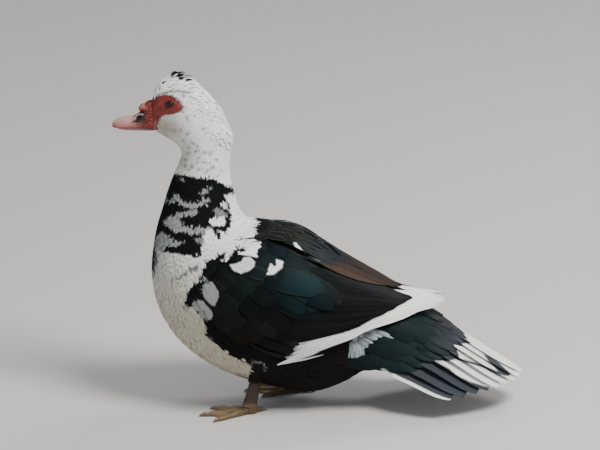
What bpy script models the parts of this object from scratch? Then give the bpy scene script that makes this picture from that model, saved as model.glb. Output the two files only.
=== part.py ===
"""Muscovy duck, a still life-size model of a young drake standing with its head up.

Frame: metres, +X towards the bill, +Y to the bird's left, +Z up. The soles lie on z = 0, and the
origin is on the floor under the middle of the bird's box.
"""

import math
import random

import bmesh
import bpy
from mathutils import Matrix, Vector

MM = 0.001
GAP = 0.3 * MM
SIDES = {"left": 1, "right": -1}

# ------------------------------------------------------------------ driving sizes, millimetres

# The body is one loft of upright sections, each drawn from a point on the back of the bird to a point
# on its front or underside: (back x, z), (underside x, z), half width there.
BODY = {
    "bill_base": ((213, 410), (211, 370.5), 13.4),
    "forehead": ((204.5, 424), (204, 366), 20),
    "brow": ((190, 433.5), (194, 360), 25),
    "crown": ((173, 436), (185, 354), 28.5),
    "hind_crown": ((154, 426), (179, 348), 30.5),
    "nape_top": ((136, 409), (176, 342), 31),
    "nape": ((122, 388), (175.5, 336), 30),
    "throat": ((114, 365), (177, 330), 29),
    "upper_neck": ((113, 340), (181, 320), 29),
    "mid_neck": ((113, 313), (187, 306), 31),
    "lower_neck": ((108, 286), (194, 286), 35),
    "neck_base": ((100, 261), (201, 262), 42),
    "mantle": ((87, 246), (208, 237), 52),
    "shoulder": ((69, 242), (213, 207), 63),
    "chest": ((50, 238), (214.5, 175), 71),
    "breast": ((32, 232), (208, 137), 77),
    "keel_front": ((13.5, 223.5), (190, 101), 80),
    "keel": ((-5.5, 211.5), (162.5, 72), 81),
    "belly_front": ((-25, 199), (126, 49), 81),
    "belly": ((-44.5, 186), (87, 34), 80),
    "flank": ((-64, 173), (45.5, 24), 76),
    "thigh": ((-84, 160.5), (6.5, 19), 69),
    "vent": ((-104, 149), (-30, 30), 58),
    "rump": ((-124, 137), (-58.5, 46), 48),
    "tail_base": ((-147, 123), (-90, 56), 44),
    "tail_core": ((-172, 104), (-128, 58), 40),
    "tail_core_end": ((-196, 84), (-162, 60), 34),
}
STATION = {name: number for number, name in enumerate(BODY)}
ROUND_HEAD, FULL_TORSO = 2.0, 2.25  # how square the sections are: 2 is an ellipse
BODY_SIDES = 24

# The folded wing lies on an envelope round the body: x, centre height, half height, half width, and
# the angles from the top at which the wing's upper and lower edges lie.
WING = {
    "bend": (146, 165, 74, 75, 50, 109),
    "forearm": (110.5, 155, 85, 88, 30, 117),
    "shoulder": (71.5, 149, 85.5, 94, 13.5, 126),
    "elbow": (26, 139, 90, 94, 9, 123),
    "rump": (-30, 124, 70.5, 86, 5.5, 107),
    "secondary_ends": (-82, 118, 47.5, 66, 5.5, 88),
    "tertial_ends": (-108, 118, 34.5, 53, 7, 78),
    "primary_fan": (-134, 125, 24, 37, 10, 71),
    "tip": (-169, 138, 6, 21, 20, 80),
}
WING_SQUARE = 2.4

# The tail fan, from the middle pair (0) to the outermost pair (1).
TAIL_FEATHERS_A_SIDE = 7
TAIL_MIDDLE_TIP = (-266, 3, 40)
TAIL_OUTER_TIP = (-177, 83, 34)
TAIL_HALF_WIDTH = 15.5
TAIL_STEP = 1.45  # how far each feather lies under the one nearer the middle
TAIL_ROOT, TAIL_CORE_END = 24.1, 25.0  # stations of the feathers' roots and of the core's end
TAIL_ROOT_ANGLES = (9, 108)  # degrees from the top of the tail's core
TAIL_ROOT_DEPTH = 1.8
TAIL_BOW = (-0.02, 0.02)  # rise at the middle of a feather as a share of its length, inner and outer
COVERT_BOW, COVERT_HEIGHT = 0.8, 1.3
UPPER_TAIL_COVERTS_A_SIDE = 4

VANE = 0.7  # thickness of a feather's blade
ROOT_DEPTH = 2.2  # how far a feather's root is sunk

EYE_PLACE = (2.08, 67)  # station on the body loft, degrees from the top
EYE_RADIUS, EYE_DEPTH = 6.3, 2.6  # the depth of its centre under the surface of the head
LID_RADIUS, LID_THICKNESS = 6.4, 1.25
FACE_SKIN_GAP, FACE_SKIN_HEIGHT = 0.45, 1.9  # from the head to the skin's inner and outer faces
ARM_GAP = 0.6  # the same to the inner face of the arm round each eye

MOUTH_HEIGHT = 375.2
BILL_BASE_X = 213.2
# The upper bill: x, height of its ridge, half width.
UPPER_BILL = {
    "base": (BILL_BASE_X, 408.5, 13.4),
    "knob": (220, 404.6, 12.6),
    "nostril": (228, 396, 11.4),
    "saddle": (236, 389.8, 10.6),
    "middle": (244, 388.8, 10.8),
    "spoon": (253.5, 386.8, 11.6),
    "nail": (261, 383.6, 9.8),
    "tip": (266, 379.2, 4.2),
}
# The lower bill: x, height of its underside, half width.
LOWER_BILL = {
    "base": (BILL_BASE_X, 370, 12.2),
    "middle": (235, 369.6, 9.6),
    "spoon": (252, 371, 10.2),
    "tip": (262, 373.2, 5),
}
NOSTRIL = (231, 387.4)  # x, height
NOSTRIL_HALF_LENGTH = 4.2
NOSTRIL_HALF_HEIGHT = 1.7
BAND_STATIONS = (0.5, 0.28, 0.06)  # rows of the skin's front part on the head, from back to front
COLLAR = (213.7, 218.5, 223.5)  # and its rows on the bill
COLLAR_GAP, COLLAR_HEIGHT = 0.8, 2.6
# The knobs over the ridge and the folds beside it, on the collar: x, angle from the left over the
# ridge, half length, half width, and how far they stand over the bill.
KNOBS = ((223, 90, 8, 7.5, 6.4), (217.6, 90, 4.3, 8.5, 6.2))
FOLDS = (
    (216.5, 52, 4.4, 4.4, 4.4),
    (220, 33, 4.2, 4.6, 4.0),
    (216.5, 15, 3.6, 4.2, 3.8),
)

# The red face skin: station on the body loft, and its upper and lower edges in degrees from the top.
FACE_SKIN = (
    (0.06, 6, 125),
    (0.35, 16, 124),
    (0.65, 31, 116),
    (0.95, 38, 98),
    (1.25, 41, 90),
    (1.9, 46, 88),
    (2.4, 54, 87),
    (2.9, 65, 84),
    (3.2, 74, 79),
)

# The bulbs on the face skin: station, and the share of the way from its upper to its lower edge.
RIM_BULBS = ((0.45, 0.14), (0.8, 0.1), (1.2, 0.1), (0.75, 0.6), (2.62, 0.5))

# The legs: hock and foot joint, with the direction of the middle toe in degrees outward.
LEGS = {
    "left": {"hock": (78, 47, 50), "ankle": (87, 50, 13), "toes_out": 14},
    "right": {"hock": (36, -46, 48), "ankle": (27, -44, 13), "toes_out": -3},
}
SHANK_RADII = (8.4, 6.8)  # front to back, side to side
TOES = {  # degrees from the middle toe, outward positive, and length to the claw
    "inner": (-30, 46),
    "middle": (0, 60),
    "outer": (27, 55),
    "hind": (196, 17),
}
TOE_HALF_WIDTH, TOE_HEIGHT = 4.6, 8.5
WEB_LOW, WEB_HIGH = 0.8, 2.4
CLAW_LENGTH, CLAW_RADIUS = 9, 2.8

COLOURS = {  # linear base colour, roughness
    "white_feather": ((0.78, 0.78, 0.74), 0.7),
    "dark_feather": ((0.012, 0.016, 0.017), 0.45),
    "pied_feather": ((0.3, 0.3, 0.3), 0.65),
    "red_skin": ((0.42, 0.035, 0.02), 0.5),
    "bill": ((0.6, 0.3, 0.26), 0.4),
    "eye": ((0.03, 0.012, 0.006), 0.08),
    "leg_skin": ((0.34, 0.19, 0.07), 0.55),
    "claw": ((0.12, 0.09, 0.06), 0.4),
}


# ------------------------------------------------------------------ curves and surfaces


def through(rows, t):
    """The values at station number t on the smooth curve through the rows."""
    last = len(rows) - 1
    t = min(max(t, 0.0), float(last))
    i = min(int(t), last - 1)
    f = t - i
    b, c = rows[i], rows[i + 1]
    a = rows[i - 1] if i > 0 else [2 * p - q for p, q in zip(b, c)]
    d = rows[i + 2] if i + 2 <= last else [2 * q - p for p, q in zip(b, c)]
    return [
        0.5 * (2 * q + (r - p) * f + (2 * p - 5 * q + 4 * r - s) * f**2 + (3 * q - p - 3 * r + s) * f**3)
        for p, q, r, s in zip(a, b, c, d)
    ]


def smooth_step(low, high, value):
    share = min(max((value - low) / (high - low), 0.0), 1.0)
    return share * share * (3 - 2 * share)


def mix(a, b, share):
    return a + (b - a) * share


def squared(value, power):
    """A sine or cosine bent so that its section is fuller than an ellipse."""
    return math.copysign(abs(value) ** (2 / power), value)


BODY_ROWS = [[v * MM for v in (*back, *under, width)] for back, under, width in BODY.values()]
WING_ROWS = [
    [*(v * MM for v in row[:4]), *(math.radians(v) for v in row[4:])] for row in WING.values()
]


def body_point(station, angle, out=0.0):
    """A point of the body's surface: angle 0 is on the back, pi on the underside, positive to the left."""
    back_x, back_z, under_x, under_z, width = through(BODY_ROWS, station)
    back, under = Vector((back_x, 0, back_z)), Vector((under_x, 0, under_z))
    power = mix(ROUND_HEAD, FULL_TORSO, smooth_step(STATION["lower_neck"], STATION["breast"], station))
    point = (
        (back + under) / 2
        + (back - under) / 2 * squared(math.cos(angle), power)
        + Vector((0, width * squared(math.sin(angle), power), 0))
    )
    return point + body_normal(station, angle) * out if out else point


def body_normal(station, angle):
    step = 0.02
    along = body_point(station + step, angle) - body_point(station - step, angle)
    around = body_point(station, angle + step) - body_point(station, angle - step)
    return around.cross(along).normalized()


def wing_point(u, v, out=0.0):
    """A point of the left wing's surface: u in stations from the bend to the tip, v from 0 at the upper
    edge to 1 at the lower."""
    x, middle, height, width, upper, lower = through(WING_ROWS, u)
    angle = mix(upper, lower, v)
    point = Vector(
        (
            x,
            width * squared(math.sin(angle), WING_SQUARE),
            middle + height * squared(math.cos(angle), WING_SQUARE),
        )
    )
    return point + wing_normal(u, v) * out if out else point


def wing_normal(u, v):
    step = 0.02
    along = wing_point(u + step, v) - wing_point(u - step, v)
    across = wing_point(u, v + step) - wing_point(u, v - step)
    return across.cross(along).normalized()


# ------------------------------------------------------------------ mesh tools


def clear_scene():
    for old in list(bpy.data.objects):
        bpy.data.objects.remove(old)


def material(name):
    found = bpy.data.materials.get(name)
    if found:
        return found
    colour, roughness = COLOURS[name]
    made = bpy.data.materials.new(name)
    made.use_nodes = True
    shader = made.node_tree.nodes["Principled BSDF"]
    shader.inputs["Base Color"].default_value = (*colour, 1)
    shader.inputs["Roughness"].default_value = roughness
    return made


def new_object(name, mesh_data, finish="white_feather"):
    obj = bpy.data.objects.new(name, mesh_data)
    bpy.context.scene.collection.objects.link(obj)
    obj.data.materials.clear()
    obj.data.materials.append(material(finish))
    return obj


def from_faces(name, points, faces, finish="white_feather"):
    """A closed mesh object from points and faces, with its faces turned outward."""
    made = bpy.data.meshes.new(name)
    made.from_pydata([tuple(p) for p in points], [], faces)
    shell = bmesh.new()
    shell.from_mesh(made)
    bmesh.ops.recalc_face_normals(shell, faces=shell.faces)
    shell.to_mesh(made)
    shell.free()
    return new_object(name, made, finish)


def loft(name, rings, finish="white_feather"):
    """A closed mesh through rings of as many points each, with flat caps at both ends."""
    count = len(rings[0])
    points = [p for ring in rings for p in ring]
    faces = []
    for r in range(len(rings) - 1):
        for k in range(count):
            a, b = r * count + k, r * count + (k + 1) % count
            c, d = b + count, a + count
            # the two halves are split as mirror images
            faces += [(a, b, c), (a, c, d)] if k < count / 2 else [(a, b, d), (b, c, d)]
    faces.append(tuple(range(count - 1, -1, -1)))
    faces.append(tuple(range(len(points) - count, len(points))))
    return from_faces(name, points, faces, finish)


def slab(name, rows, columns, outer, inner, finish="white_feather"):
    """A closed curved plate: outer(i, j) and inner(i, j) give its two faces on a grid."""
    points = [outer(i, j) for i in range(rows) for j in range(columns)]
    points += [inner(i, j) for i in range(rows) for j in range(columns)]
    half = rows * columns
    faces = []
    for i in range(rows - 1):
        for j in range(columns - 1):
            a = i * columns + j
            b, c, d = a + 1, a + columns + 1, a + columns
            faces += [(a, b, c), (a, c, d)]
            faces += [(half + a, half + c, half + b), (half + a, half + d, half + c)]
    rim = [(0, j) for j in range(columns)]
    rim += [(i, columns - 1) for i in range(1, rows)]
    rim += [(rows - 1, j) for j in range(columns - 2, -1, -1)]
    rim += [(i, 0) for i in range(rows - 2, 0, -1)]
    for (i, j), (k, m) in zip(rim, rim[1:] + rim[:1]):
        a, b = i * columns + j, k * columns + m
        faces.append((a, b, b + half, a + half))
    return from_faces(name, points, faces, finish)


def ball(name, centre, radii, finish):
    """An ellipsoid. centre and radii are in millimetres."""
    shell = bmesh.new()
    bmesh.ops.create_icosphere(shell, subdivisions=2, radius=1)
    matrix = Matrix.Translation(Vector(centre) * MM) @ Matrix.Diagonal((*(r * MM for r in radii), 1))
    bmesh.ops.transform(shell, matrix=matrix, verts=shell.verts)
    made = bpy.data.meshes.new(name)
    shell.to_mesh(made)
    shell.free()
    return new_object(name, made, finish)


def applied(obj):
    """Replaces the object's mesh by what its modifiers make."""
    bpy.context.view_layer.update()
    graph = bpy.context.evaluated_depsgraph_get()
    made = bpy.data.meshes.new_from_object(obj.evaluated_get(graph))
    obj.modifiers.clear()
    obj.data = made


def boolean(obj, others, operation, solver="MANIFOLD"):
    """Joins or cuts the object by the others, which are then removed."""
    group = bpy.data.collections.new(obj.name + "_others")
    bpy.context.scene.collection.children.link(group)
    for other in others:
        group.objects.link(other)
    modifier = obj.modifiers.new(operation.lower(), "BOOLEAN")
    modifier.operation = operation
    modifier.operand_type = "COLLECTION"
    modifier.collection = group
    modifier.solver = solver
    applied(obj)
    for other in others:
        bpy.data.objects.remove(other)
    bpy.data.collections.remove(group)


def keep_largest(obj):
    """Keeps only the largest closed surface of the object."""
    shell = bmesh.new()
    shell.from_mesh(obj.data)
    left, pieces = set(shell.faces), []
    while left:
        piece, front = set(), [left.pop()]
        while front:
            face = front.pop()
            piece.add(face)
            for edge in face.edges:
                for near in edge.link_faces:
                    if near in left:
                        left.discard(near)
                        front.append(near)
        pieces.append(piece)
    pieces.sort(key=lambda faces: sum(f.calc_area() for f in faces), reverse=True)
    scraps = [f for piece in pieces[1:] for f in piece]
    bmesh.ops.delete(shell, geom=scraps, context="FACES")
    shell.to_mesh(obj.data)
    shell.free()


def finished(obj, finish):
    keep_largest(obj)
    obj.data.materials.clear()
    obj.data.materials.append(material(finish))
    obj.data.shade_smooth()
    obj.data.set_sharp_from_angle(angle=math.radians(50))
    return obj


# ------------------------------------------------------------------ feathers


def feather_width(f, taper=0.7):
    """The share of a feather's full width at f, from its narrow root to its round tip. The tip's
    narrowing starts at taper."""
    rooted = mix(0.42, 1.0, smooth_step(0.0, 0.45, f))
    return rooted * math.sqrt(1 - max(0.0, (f - taper) / (1 - taper)) ** (1.5 * taper + 1.15))


def vane(name, path, lie, half_width, rings=4, tilt=0.0, ridge=0.0, thickness=VANE, taper=0.7):
    """A feather as one thin closed blade. path(f) is its midline and lie(f) its upper normal, from the
    root at 0 to the tip at 1. tilt raises its right edge and lowers its left one, and ridge is how far
    the shaft's line stands over the edges."""
    points, faces = [], []
    across = 6 if ridge else 4
    for r in range(rings):
        f = 0.95 * r / (rings - 1)
        middle, up = path(f), lie(f).normalized()
        ahead = (path(min(f + 0.02, 1.0)) - path(max(f - 0.02, 0.0))).normalized()
        side = ahead.cross(up).normalized()
        up = side.cross(ahead).normalized()
        share = feather_width(f, taper)
        reach = side * half_width * MM * share + up * tilt * MM * share
        half, crest = up * thickness * MM / 2, up * ridge * MM * share
        if ridge:
            points += [middle - reach + half, middle + half + crest, middle + reach + half]
            points += [middle + reach - half, middle - half + crest, middle - reach - half]
        else:
            points += [middle - reach + half, middle + reach + half]
            points += [middle + reach - half, middle - reach - half]
    for r in range(rings - 1):
        for k in range(across):
            a, b = r * across + k, r * across + (k + 1) % across
            c, d = b + across, a + across
            # the same diagonal, seen from above, on the upper and the lower face
            faces += [(a, b, d), (b, c, d)] if k >= across / 2 else [(a, b, c), (a, c, d)]
    faces.append(tuple(range(across - 1, -1, -1)))
    points.append(path(1.0))
    start = (rings - 1) * across
    faces += [(start + k, start + (k + 1) % across, len(points) - 1) for k in range(across)]
    return from_faces(name, points, faces)


def wing_vane(name, root, tip, half_width, height, rise, rings, tilt):
    """A feather on the left wing's surface, from root (u, v) to tip (u, v). It starts sunk in the wing's
    core and is at its height, in millimetres over the surface, by the share rise of its length."""

    def path(f):
        lifted = mix(-ROOT_DEPTH, height, smooth_step(0.0, rise, f))
        return wing_point(mix(root[0], tip[0], f), mix(root[1], tip[1], f), lifted * MM)

    def lie(f):
        return wing_normal(mix(root[0], tip[0], f), mix(root[1], tip[1], f))

    return vane(name, path, lie, half_width, rings, tilt)


# ------------------------------------------------------------------ body


def body_loft(name, first, last, rings, finish, out=0.0, closer=1.0, sides=BODY_SIDES):
    """The body between two stations of its loft, out metres larger all round. closer over 1 sets the
    rings closer together at the first station."""
    made = []
    for r in range(rings):
        station = mix(first, last, (r / (rings - 1)) ** closer)
        made.append([body_point(station, 2 * math.pi * k / sides, out) for k in range(sides)])
    return loft(name, made, finish)


NECK_TOP, NECK_END, TAIL_START = 7.0, 11.4, 23.0
NECK_CUT, TORSO_CUT, TAIL_CUT = 0.013, 0.008, 0.008  # half of each thin cut, in stations
TORSO_RINGS, NECK_RINGS, HEAD_RINGS, TAIL_RINGS = 22, 8, 15, 4


def torso():
    made = body_loft("torso", NECK_END + TORSO_CUT, TAIL_START - TAIL_CUT, TORSO_RINGS, "dark_feather")
    return finished(made, "dark_feather")


def torso_clearance(name):
    """The torso grown by the gap, to cut what lies on it."""
    return body_loft(name, NECK_END, TAIL_START, TORSO_RINGS, "dark_feather", GAP)


def neck():
    made = body_loft("neck", NECK_TOP + NECK_CUT, NECK_END - TORSO_CUT, NECK_RINGS, "pied_feather")
    return finished(made, "pied_feather")


# ------------------------------------------------------------------ head


def eye_axis(side, out=0.0):
    """A point out millimetres over the head at the middle of the eye, and the way the eye looks."""
    station, angle = EYE_PLACE[0], side * math.radians(EYE_PLACE[1])
    return body_point(station, angle, out * MM), body_normal(station, angle)


def eye_ball(name, side, grow=0.0):
    centre, _ = eye_axis(side, -EYE_DEPTH)
    return ball(name, centre / MM, (EYE_RADIUS + grow,) * 3, "eye")


# The crest's rows on the crown: station, feathers in the row, how high they rise and how far back, and
# the degrees between them.
CREST = (
    (0.9, 3, 9, 15, 14),
    (1.45, 4, 10.5, 18, 13),
    (2.05, 4, 10, 21, 15),
    (2.7, 4, 8, 22, 17),
    (3.4, 4, 5, 22, 18),
)
CREST_HALF_WIDTH, CREST_THICKNESS, CREST_DEPTH = 5, 0.9, 2.5


def crest_locks(draw):
    """The crown's raised feathers, in rows from the forehead back."""
    locks = []
    for row, (station, count, height, reach, spread) in enumerate(CREST):
        for k in range(count):
            angle = math.radians((k - (count - 1) / 2) * spread)
            high = height * draw.uniform(0.9, 1.1) * math.cos(angle)
            long = reach * draw.uniform(0.9, 1.15)
            root = body_point(station, angle, -CREST_DEPTH * MM)
            normal = body_normal(station, angle)
            back = (body_point(station + 0.2, angle) - body_point(station, angle)).normalized()
            # all lean in towards the middle line as they rise
            upward = (normal + Vector((0, 0, 0.35))).normalized()

            def path(f, root=root, up=upward, back=back, high=high + CREST_DEPTH, long=long):
                return root + up * high * MM * f * (1.9 - 0.9 * f) + back * long * MM * f**1.6

            def lie(f, up=upward, back=back):
                return up * (0.25 + 0.75 * f) - back * (1.0 - 0.75 * f)

            name = f"crest_{row}_{k}"
            locks.append(vane(name, path, lie, CREST_HALF_WIDTH, thickness=CREST_THICKNESS, taper=0.25))
    return locks


def head():
    made = body_loft("head", 0.0, NECK_TOP - NECK_CUT, HEAD_RINGS, "white_feather", closer=1.4)
    boolean(made, crest_locks(random.Random(4)), "UNION")
    boolean(made, [eye_ball(f"socket_{s}", sign, 0.3) for s, sign in SIDES.items()], "DIFFERENCE")
    return finished(made, "white_feather")


def face_edges(station):
    """The upper and lower edge of the face skin at a station, in degrees from the top."""
    for (s0, up0, low0), (s1, up1, low1) in zip(FACE_SKIN, FACE_SKIN[1:]):
        if station <= s1:
            share = max(0.0, (station - s0) / (s1 - s0))
            return mix(up0, up1, share), mix(low0, low1, share)
    return FACE_SKIN[-1][1:]


def face_patch(name, first, last, rows, columns, edges):
    """A plate of skin on the head between two stations. edges(station) gives its two angles."""

    def at(i, j, out):
        station = mix(first, last, i / (rows - 1))
        angle = mix(*edges(station), j / (columns - 1))
        return body_point(station, math.radians(angle), out * MM)

    def outer(i, j):
        crown = math.sin(math.pi * j / (columns - 1))
        return at(i, j, FACE_SKIN_HEIGHT * (0.6 + 0.4 * crown))

    return slab(name, rows, columns, outer, lambda i, j: at(i, j, ARM_GAP))


def bulb(name, centre, radii, turn, sides=6):
    """A round lump of few faces."""
    shell = bmesh.new()
    bmesh.ops.create_uvsphere(shell, u_segments=sides, v_segments=4, radius=1)
    matrix = Matrix.Translation(centre) @ turn.to_matrix().to_4x4()
    matrix = matrix @ Matrix.Diagonal((*(r * MM for r in radii), 1))
    bmesh.ops.transform(shell, matrix=matrix, verts=shell.verts)
    made = bpy.data.meshes.new(name)
    shell.to_mesh(made)
    shell.free()
    return new_object(name, made, "red_skin")


def rim_bulbs(draw):
    """The flat bulbs along the edges of the face skin, smaller towards its back corner."""
    bulbs = []
    for s, sign in SIDES.items():
        for k, (station, below) in enumerate(RIM_BULBS):
            upper, lower = face_edges(station)
            size = mix(2.6, 1.6, station / 2.7) * draw.uniform(0.9, 1.1)
            edge = mix(upper, lower, below)
            point = body_point(station, sign * math.radians(edge), (FACE_SKIN_HEIGHT + 0.1) * MM)
            turn = body_normal(station, sign * math.radians(edge)).to_track_quat("Z", "X")
            radii = (size * 1.5, size * 1.1, 1.5)
            bulbs.append(bulb(f"bulb_{s}_{k}", point, radii, turn))
    return bulbs


def bill_station(x):
    """The upper bill's station number at x."""
    places = [row[0] for row in UPPER_BILL.values()]
    for number, (near, far) in enumerate(zip(places, places[1:])):
        if x <= far:
            return number + max(0.0, (x - near) / (far - near))
    return len(places) - 1.0


def collar_point(x, angle, out=0.0):
    """A point on the bill's base: the angle runs over the ridge from 0 on the left to 180."""
    _, top, width = through([list(r) for r in UPPER_BILL.values()], bill_station(x))
    turn = math.radians(angle)
    arch = mix(MOUTH_HEIGHT, top + out, math.sin(turn) ** 0.9)
    return Vector((x, (width + out) * math.cos(turn), arch)) * MM


def skin_front():
    """The skin over the forehead's edge and both cheeks, and on from there over the bill's base."""
    rows, columns = len(BAND_STATIONS) + len(COLLAR), 17

    def at(i, j, head_out, bill_out):
        share = j / (columns - 1)
        if i < len(BAND_STATIONS):
            _, low = face_edges(BAND_STATIONS[i])
            return body_point(BAND_STATIONS[i], math.radians(mix(low, -low, share)), head_out * MM)
        return collar_point(COLLAR[i - len(BAND_STATIONS)], mix(8, 172, share), bill_out)

    def outer(i, j):
        return at(i, j, FACE_SKIN_HEIGHT + 0.2, COLLAR_HEIGHT if i < rows - 1 else COLLAR_HEIGHT - 0.8)

    return slab("face_skin", rows, columns, outer, lambda i, j: at(i, j, FACE_SKIN_GAP, COLLAR_GAP))


def collar_bulb(name, x, angle, length, width, rise):
    """A lump on the collar, flattened so that it stays clear of the bill under it."""
    foot = collar_point(x, angle)
    ahead = (collar_point(x + 1, angle) - foot).normalized()
    around = (collar_point(x, angle + 1) - foot).normalized()
    out = ahead.cross(around).normalized()
    if out.z < 0 and abs(angle - 90) < 60 or out.y * math.cos(math.radians(angle)) < 0:
        out = -out
    turn = Matrix((ahead, out.cross(ahead), out)).transposed().to_quaternion()
    centre = foot + out * (rise / 2 + COLLAR_GAP) * MM
    return bulb(name, centre, (length, width, rise / 2), turn, 8 if length > 6 else 6)


def bill_base_folds():
    folds = [collar_bulb(f"knob_{k}", *place) for k, place in enumerate(KNOBS)]
    for k, (x, angle, length, width, rise) in enumerate(FOLDS):
        folds.append(collar_bulb(f"fold_left_{k}", x, angle, length, width, rise))
        folds.append(collar_bulb(f"fold_right_{k}", x, 180 - angle, length, width, rise))
    return folds


def eyelid(name, side):
    """A ring of skin round the eye."""
    centre, outward = eye_axis(side, FACE_SKIN_GAP + LID_THICKNESS)
    turn = outward.to_track_quat("Z", "X")
    rings, around = 11, 4
    points, faces = [], []
    for r in range(rings):
        a = 2 * math.pi * r / rings
        radial = turn @ Vector((math.cos(a), math.sin(a), 0))
        for k in range(around):
            b = 2 * math.pi * k / around
            reach = LID_RADIUS + LID_THICKNESS * math.cos(b)
            points.append(centre + (radial * reach + outward * LID_THICKNESS * math.sin(b)) * MM)
            a0, a1 = r * around + k, r * around + (k + 1) % around
            b0, b1 = (a0 + around) % (rings * around), (a1 + around) % (rings * around)
            faces.append((a0, a1, b1, b0))
    return from_faces(name, points, faces, "red_skin")


def face_skin():
    """The bare red skin round both eyes and over the bill's base, with its knob, folds and bulbs."""
    made = skin_front()
    pieces = [*bill_base_folds(), *rim_bulbs(random.Random(11))]
    start, end = BAND_STATIONS[0] - 0.1, FACE_SKIN[-1][0]
    for s, sign in SIDES.items():

        def edges(t, sign=sign):
            return tuple(sign * a for a in face_edges(t))

        pieces.append(face_patch(f"arm_{s}", start, end, 8, 6, edges))
        pieces.append(eyelid(f"lid_{s}", sign))
    boolean(made, pieces, "UNION")
    boolean(made, [eye_ball(f"room_{s}", sign, 0.3) for s, sign in SIDES.items()], "DIFFERENCE")
    return finished(made, "red_skin")


# ------------------------------------------------------------------ bill


def dome(x, floor, top, half_width, count=10):
    """A section of the bill: a flat edge line with an arch over or under it."""
    turns = [math.pi * k / count for k in range(count + 1)]
    return [
        Vector((x, half_width * math.cos(a), mix(floor, top, math.sin(a) ** 0.9))) * MM for a in turns
    ]


def bill_sections(rows, floor, grow, per_gap=2):
    rows = [list(r) for r in rows.values()]
    sections = []
    for n in range((len(rows) - 1) * per_gap + 1):
        x, top, width = through(rows, n / per_gap)
        upward = math.copysign(grow, top - floor)
        if n == 0:
            x -= grow
        sections.append(dome(x, floor - upward, top + upward, width + grow))
    return sections


def upper_bill_loft(name, grow=0.0):
    return loft(name, bill_sections(UPPER_BILL, MOUTH_HEIGHT + 0.15, grow), "bill")


def upper_bill():
    made = upper_bill_loft("bill_upper")
    x, z = NOSTRIL
    nostril = ball("nostril", (x, 0, z), (NOSTRIL_HALF_LENGTH, 24, NOSTRIL_HALF_HEIGHT), "bill")
    boolean(made, [nostril], "DIFFERENCE")
    return finished(made, "bill")


def lower_bill():
    made = loft("bill_lower", bill_sections(LOWER_BILL, MOUTH_HEIGHT - 0.25, 0.0), "bill")
    return finished(made, "bill")


# ------------------------------------------------------------------ wings

# Each tier of the folded wing's feathers, from the uppermost to the lowest: how many there are, then
# for the first and the last the root and the tip on the wing's surface, the half width and the height
# over the surface, then the tilt, the share of its length over which a feather rises, and its rings.
WING_TIERS = {
    "primary": (5, (2.9, 0.8), (3.3, 0.97), (8.0, 0.45), (5.7, 1.02), (11, 10), (3.3, 0.4), 1.5, 0.18, 6),
    "secondary": (5, (3.0, 0.42), (1.7, 0.77), (6.6, 0.55), (3.1, 0.88), (13, 12), (4.8, 3.2), 2.0, 0.26, 5),
    "tertial": (4, (3.0, 0.13), (2.8, 0.36), (6.25, 0.14), (5.6, 0.36), (12, 11), (6.2, 5.4), 2.1, 0.25, 5),
    "greater": (5, (2.3, 0.42), (0.6, 0.68), (3.6, 0.5), (1.6, 0.8), (13, 12), (4.3, 0.4), 1.2, 0.25, 4),
    "median": (5, (1.7, 0.28), (0.4, 0.46), (3.0, 0.33), (1.2, 0.6), (13, 11), (2.4, 0.5), 1.2, 0.22, 4),
    "scapular": (3, (2.0, 0.06), (1.5, 0.22), (3.9, 0.06), (3.1, 0.22), (13, 13), (6.0, 2.9), 1.2, 0.3, 4),
}
WING_CORE_END = 4.6


def wing_core(name):
    """The body of the folded wing: a thick plate from the bend to under the long feathers."""
    rows, columns = 11, 7

    def at(i, j, out):
        rim = min(i, j, columns - 1 - j, rows - 1 - i)
        u, share = WING_CORE_END * i / (rows - 1), j / (columns - 1)
        return wing_point(u, share, (out if rim else out - 1.5) * MM)

    return slab(name, rows, columns, lambda i, j: at(i, j, -0.4), lambda i, j: at(i, j, -24))


def wing_feathers():
    feathers = []
    for tier, (count, *ends, tilt, rise, rings) in WING_TIERS.items():
        root0, root1, tip0, tip1, widths, heights = ends
        for k in range(count):
            share = k / (count - 1)
            root = tuple(mix(a, b, share) for a, b in zip(root0, root1))
            tip = tuple(mix(a, b, share) for a, b in zip(tip0, tip1))
            width, height = mix(*widths, share), mix(*heights, share)
            feathers.append(wing_vane(f"{tier}_{k}", root, tip, width, height, rise, rings, tilt))
    return feathers


def mirror(obj):
    """Turns the object into its image on the other side of the bird."""
    obj.data.transform(Matrix.Diagonal((1, -1, 1, 1)))
    obj.data.flip_normals()


def wing(side):
    made = wing_core(f"wing_{side}")
    boolean(made, wing_feathers(), "UNION")
    if side == "right":
        mirror(made)
    boolean(made, [torso_clearance("torso_room"), tail_core("tail_room", GAP)], "DIFFERENCE")
    return finished(made, "pied_feather")


# ------------------------------------------------------------------ tail


def tail_core(name, out=0.0):
    start = TAIL_START + (0.0 if out else TAIL_CUT)
    return body_loft(name, start, TAIL_CORE_END, TAIL_RINGS, "dark_feather", out)


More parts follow.
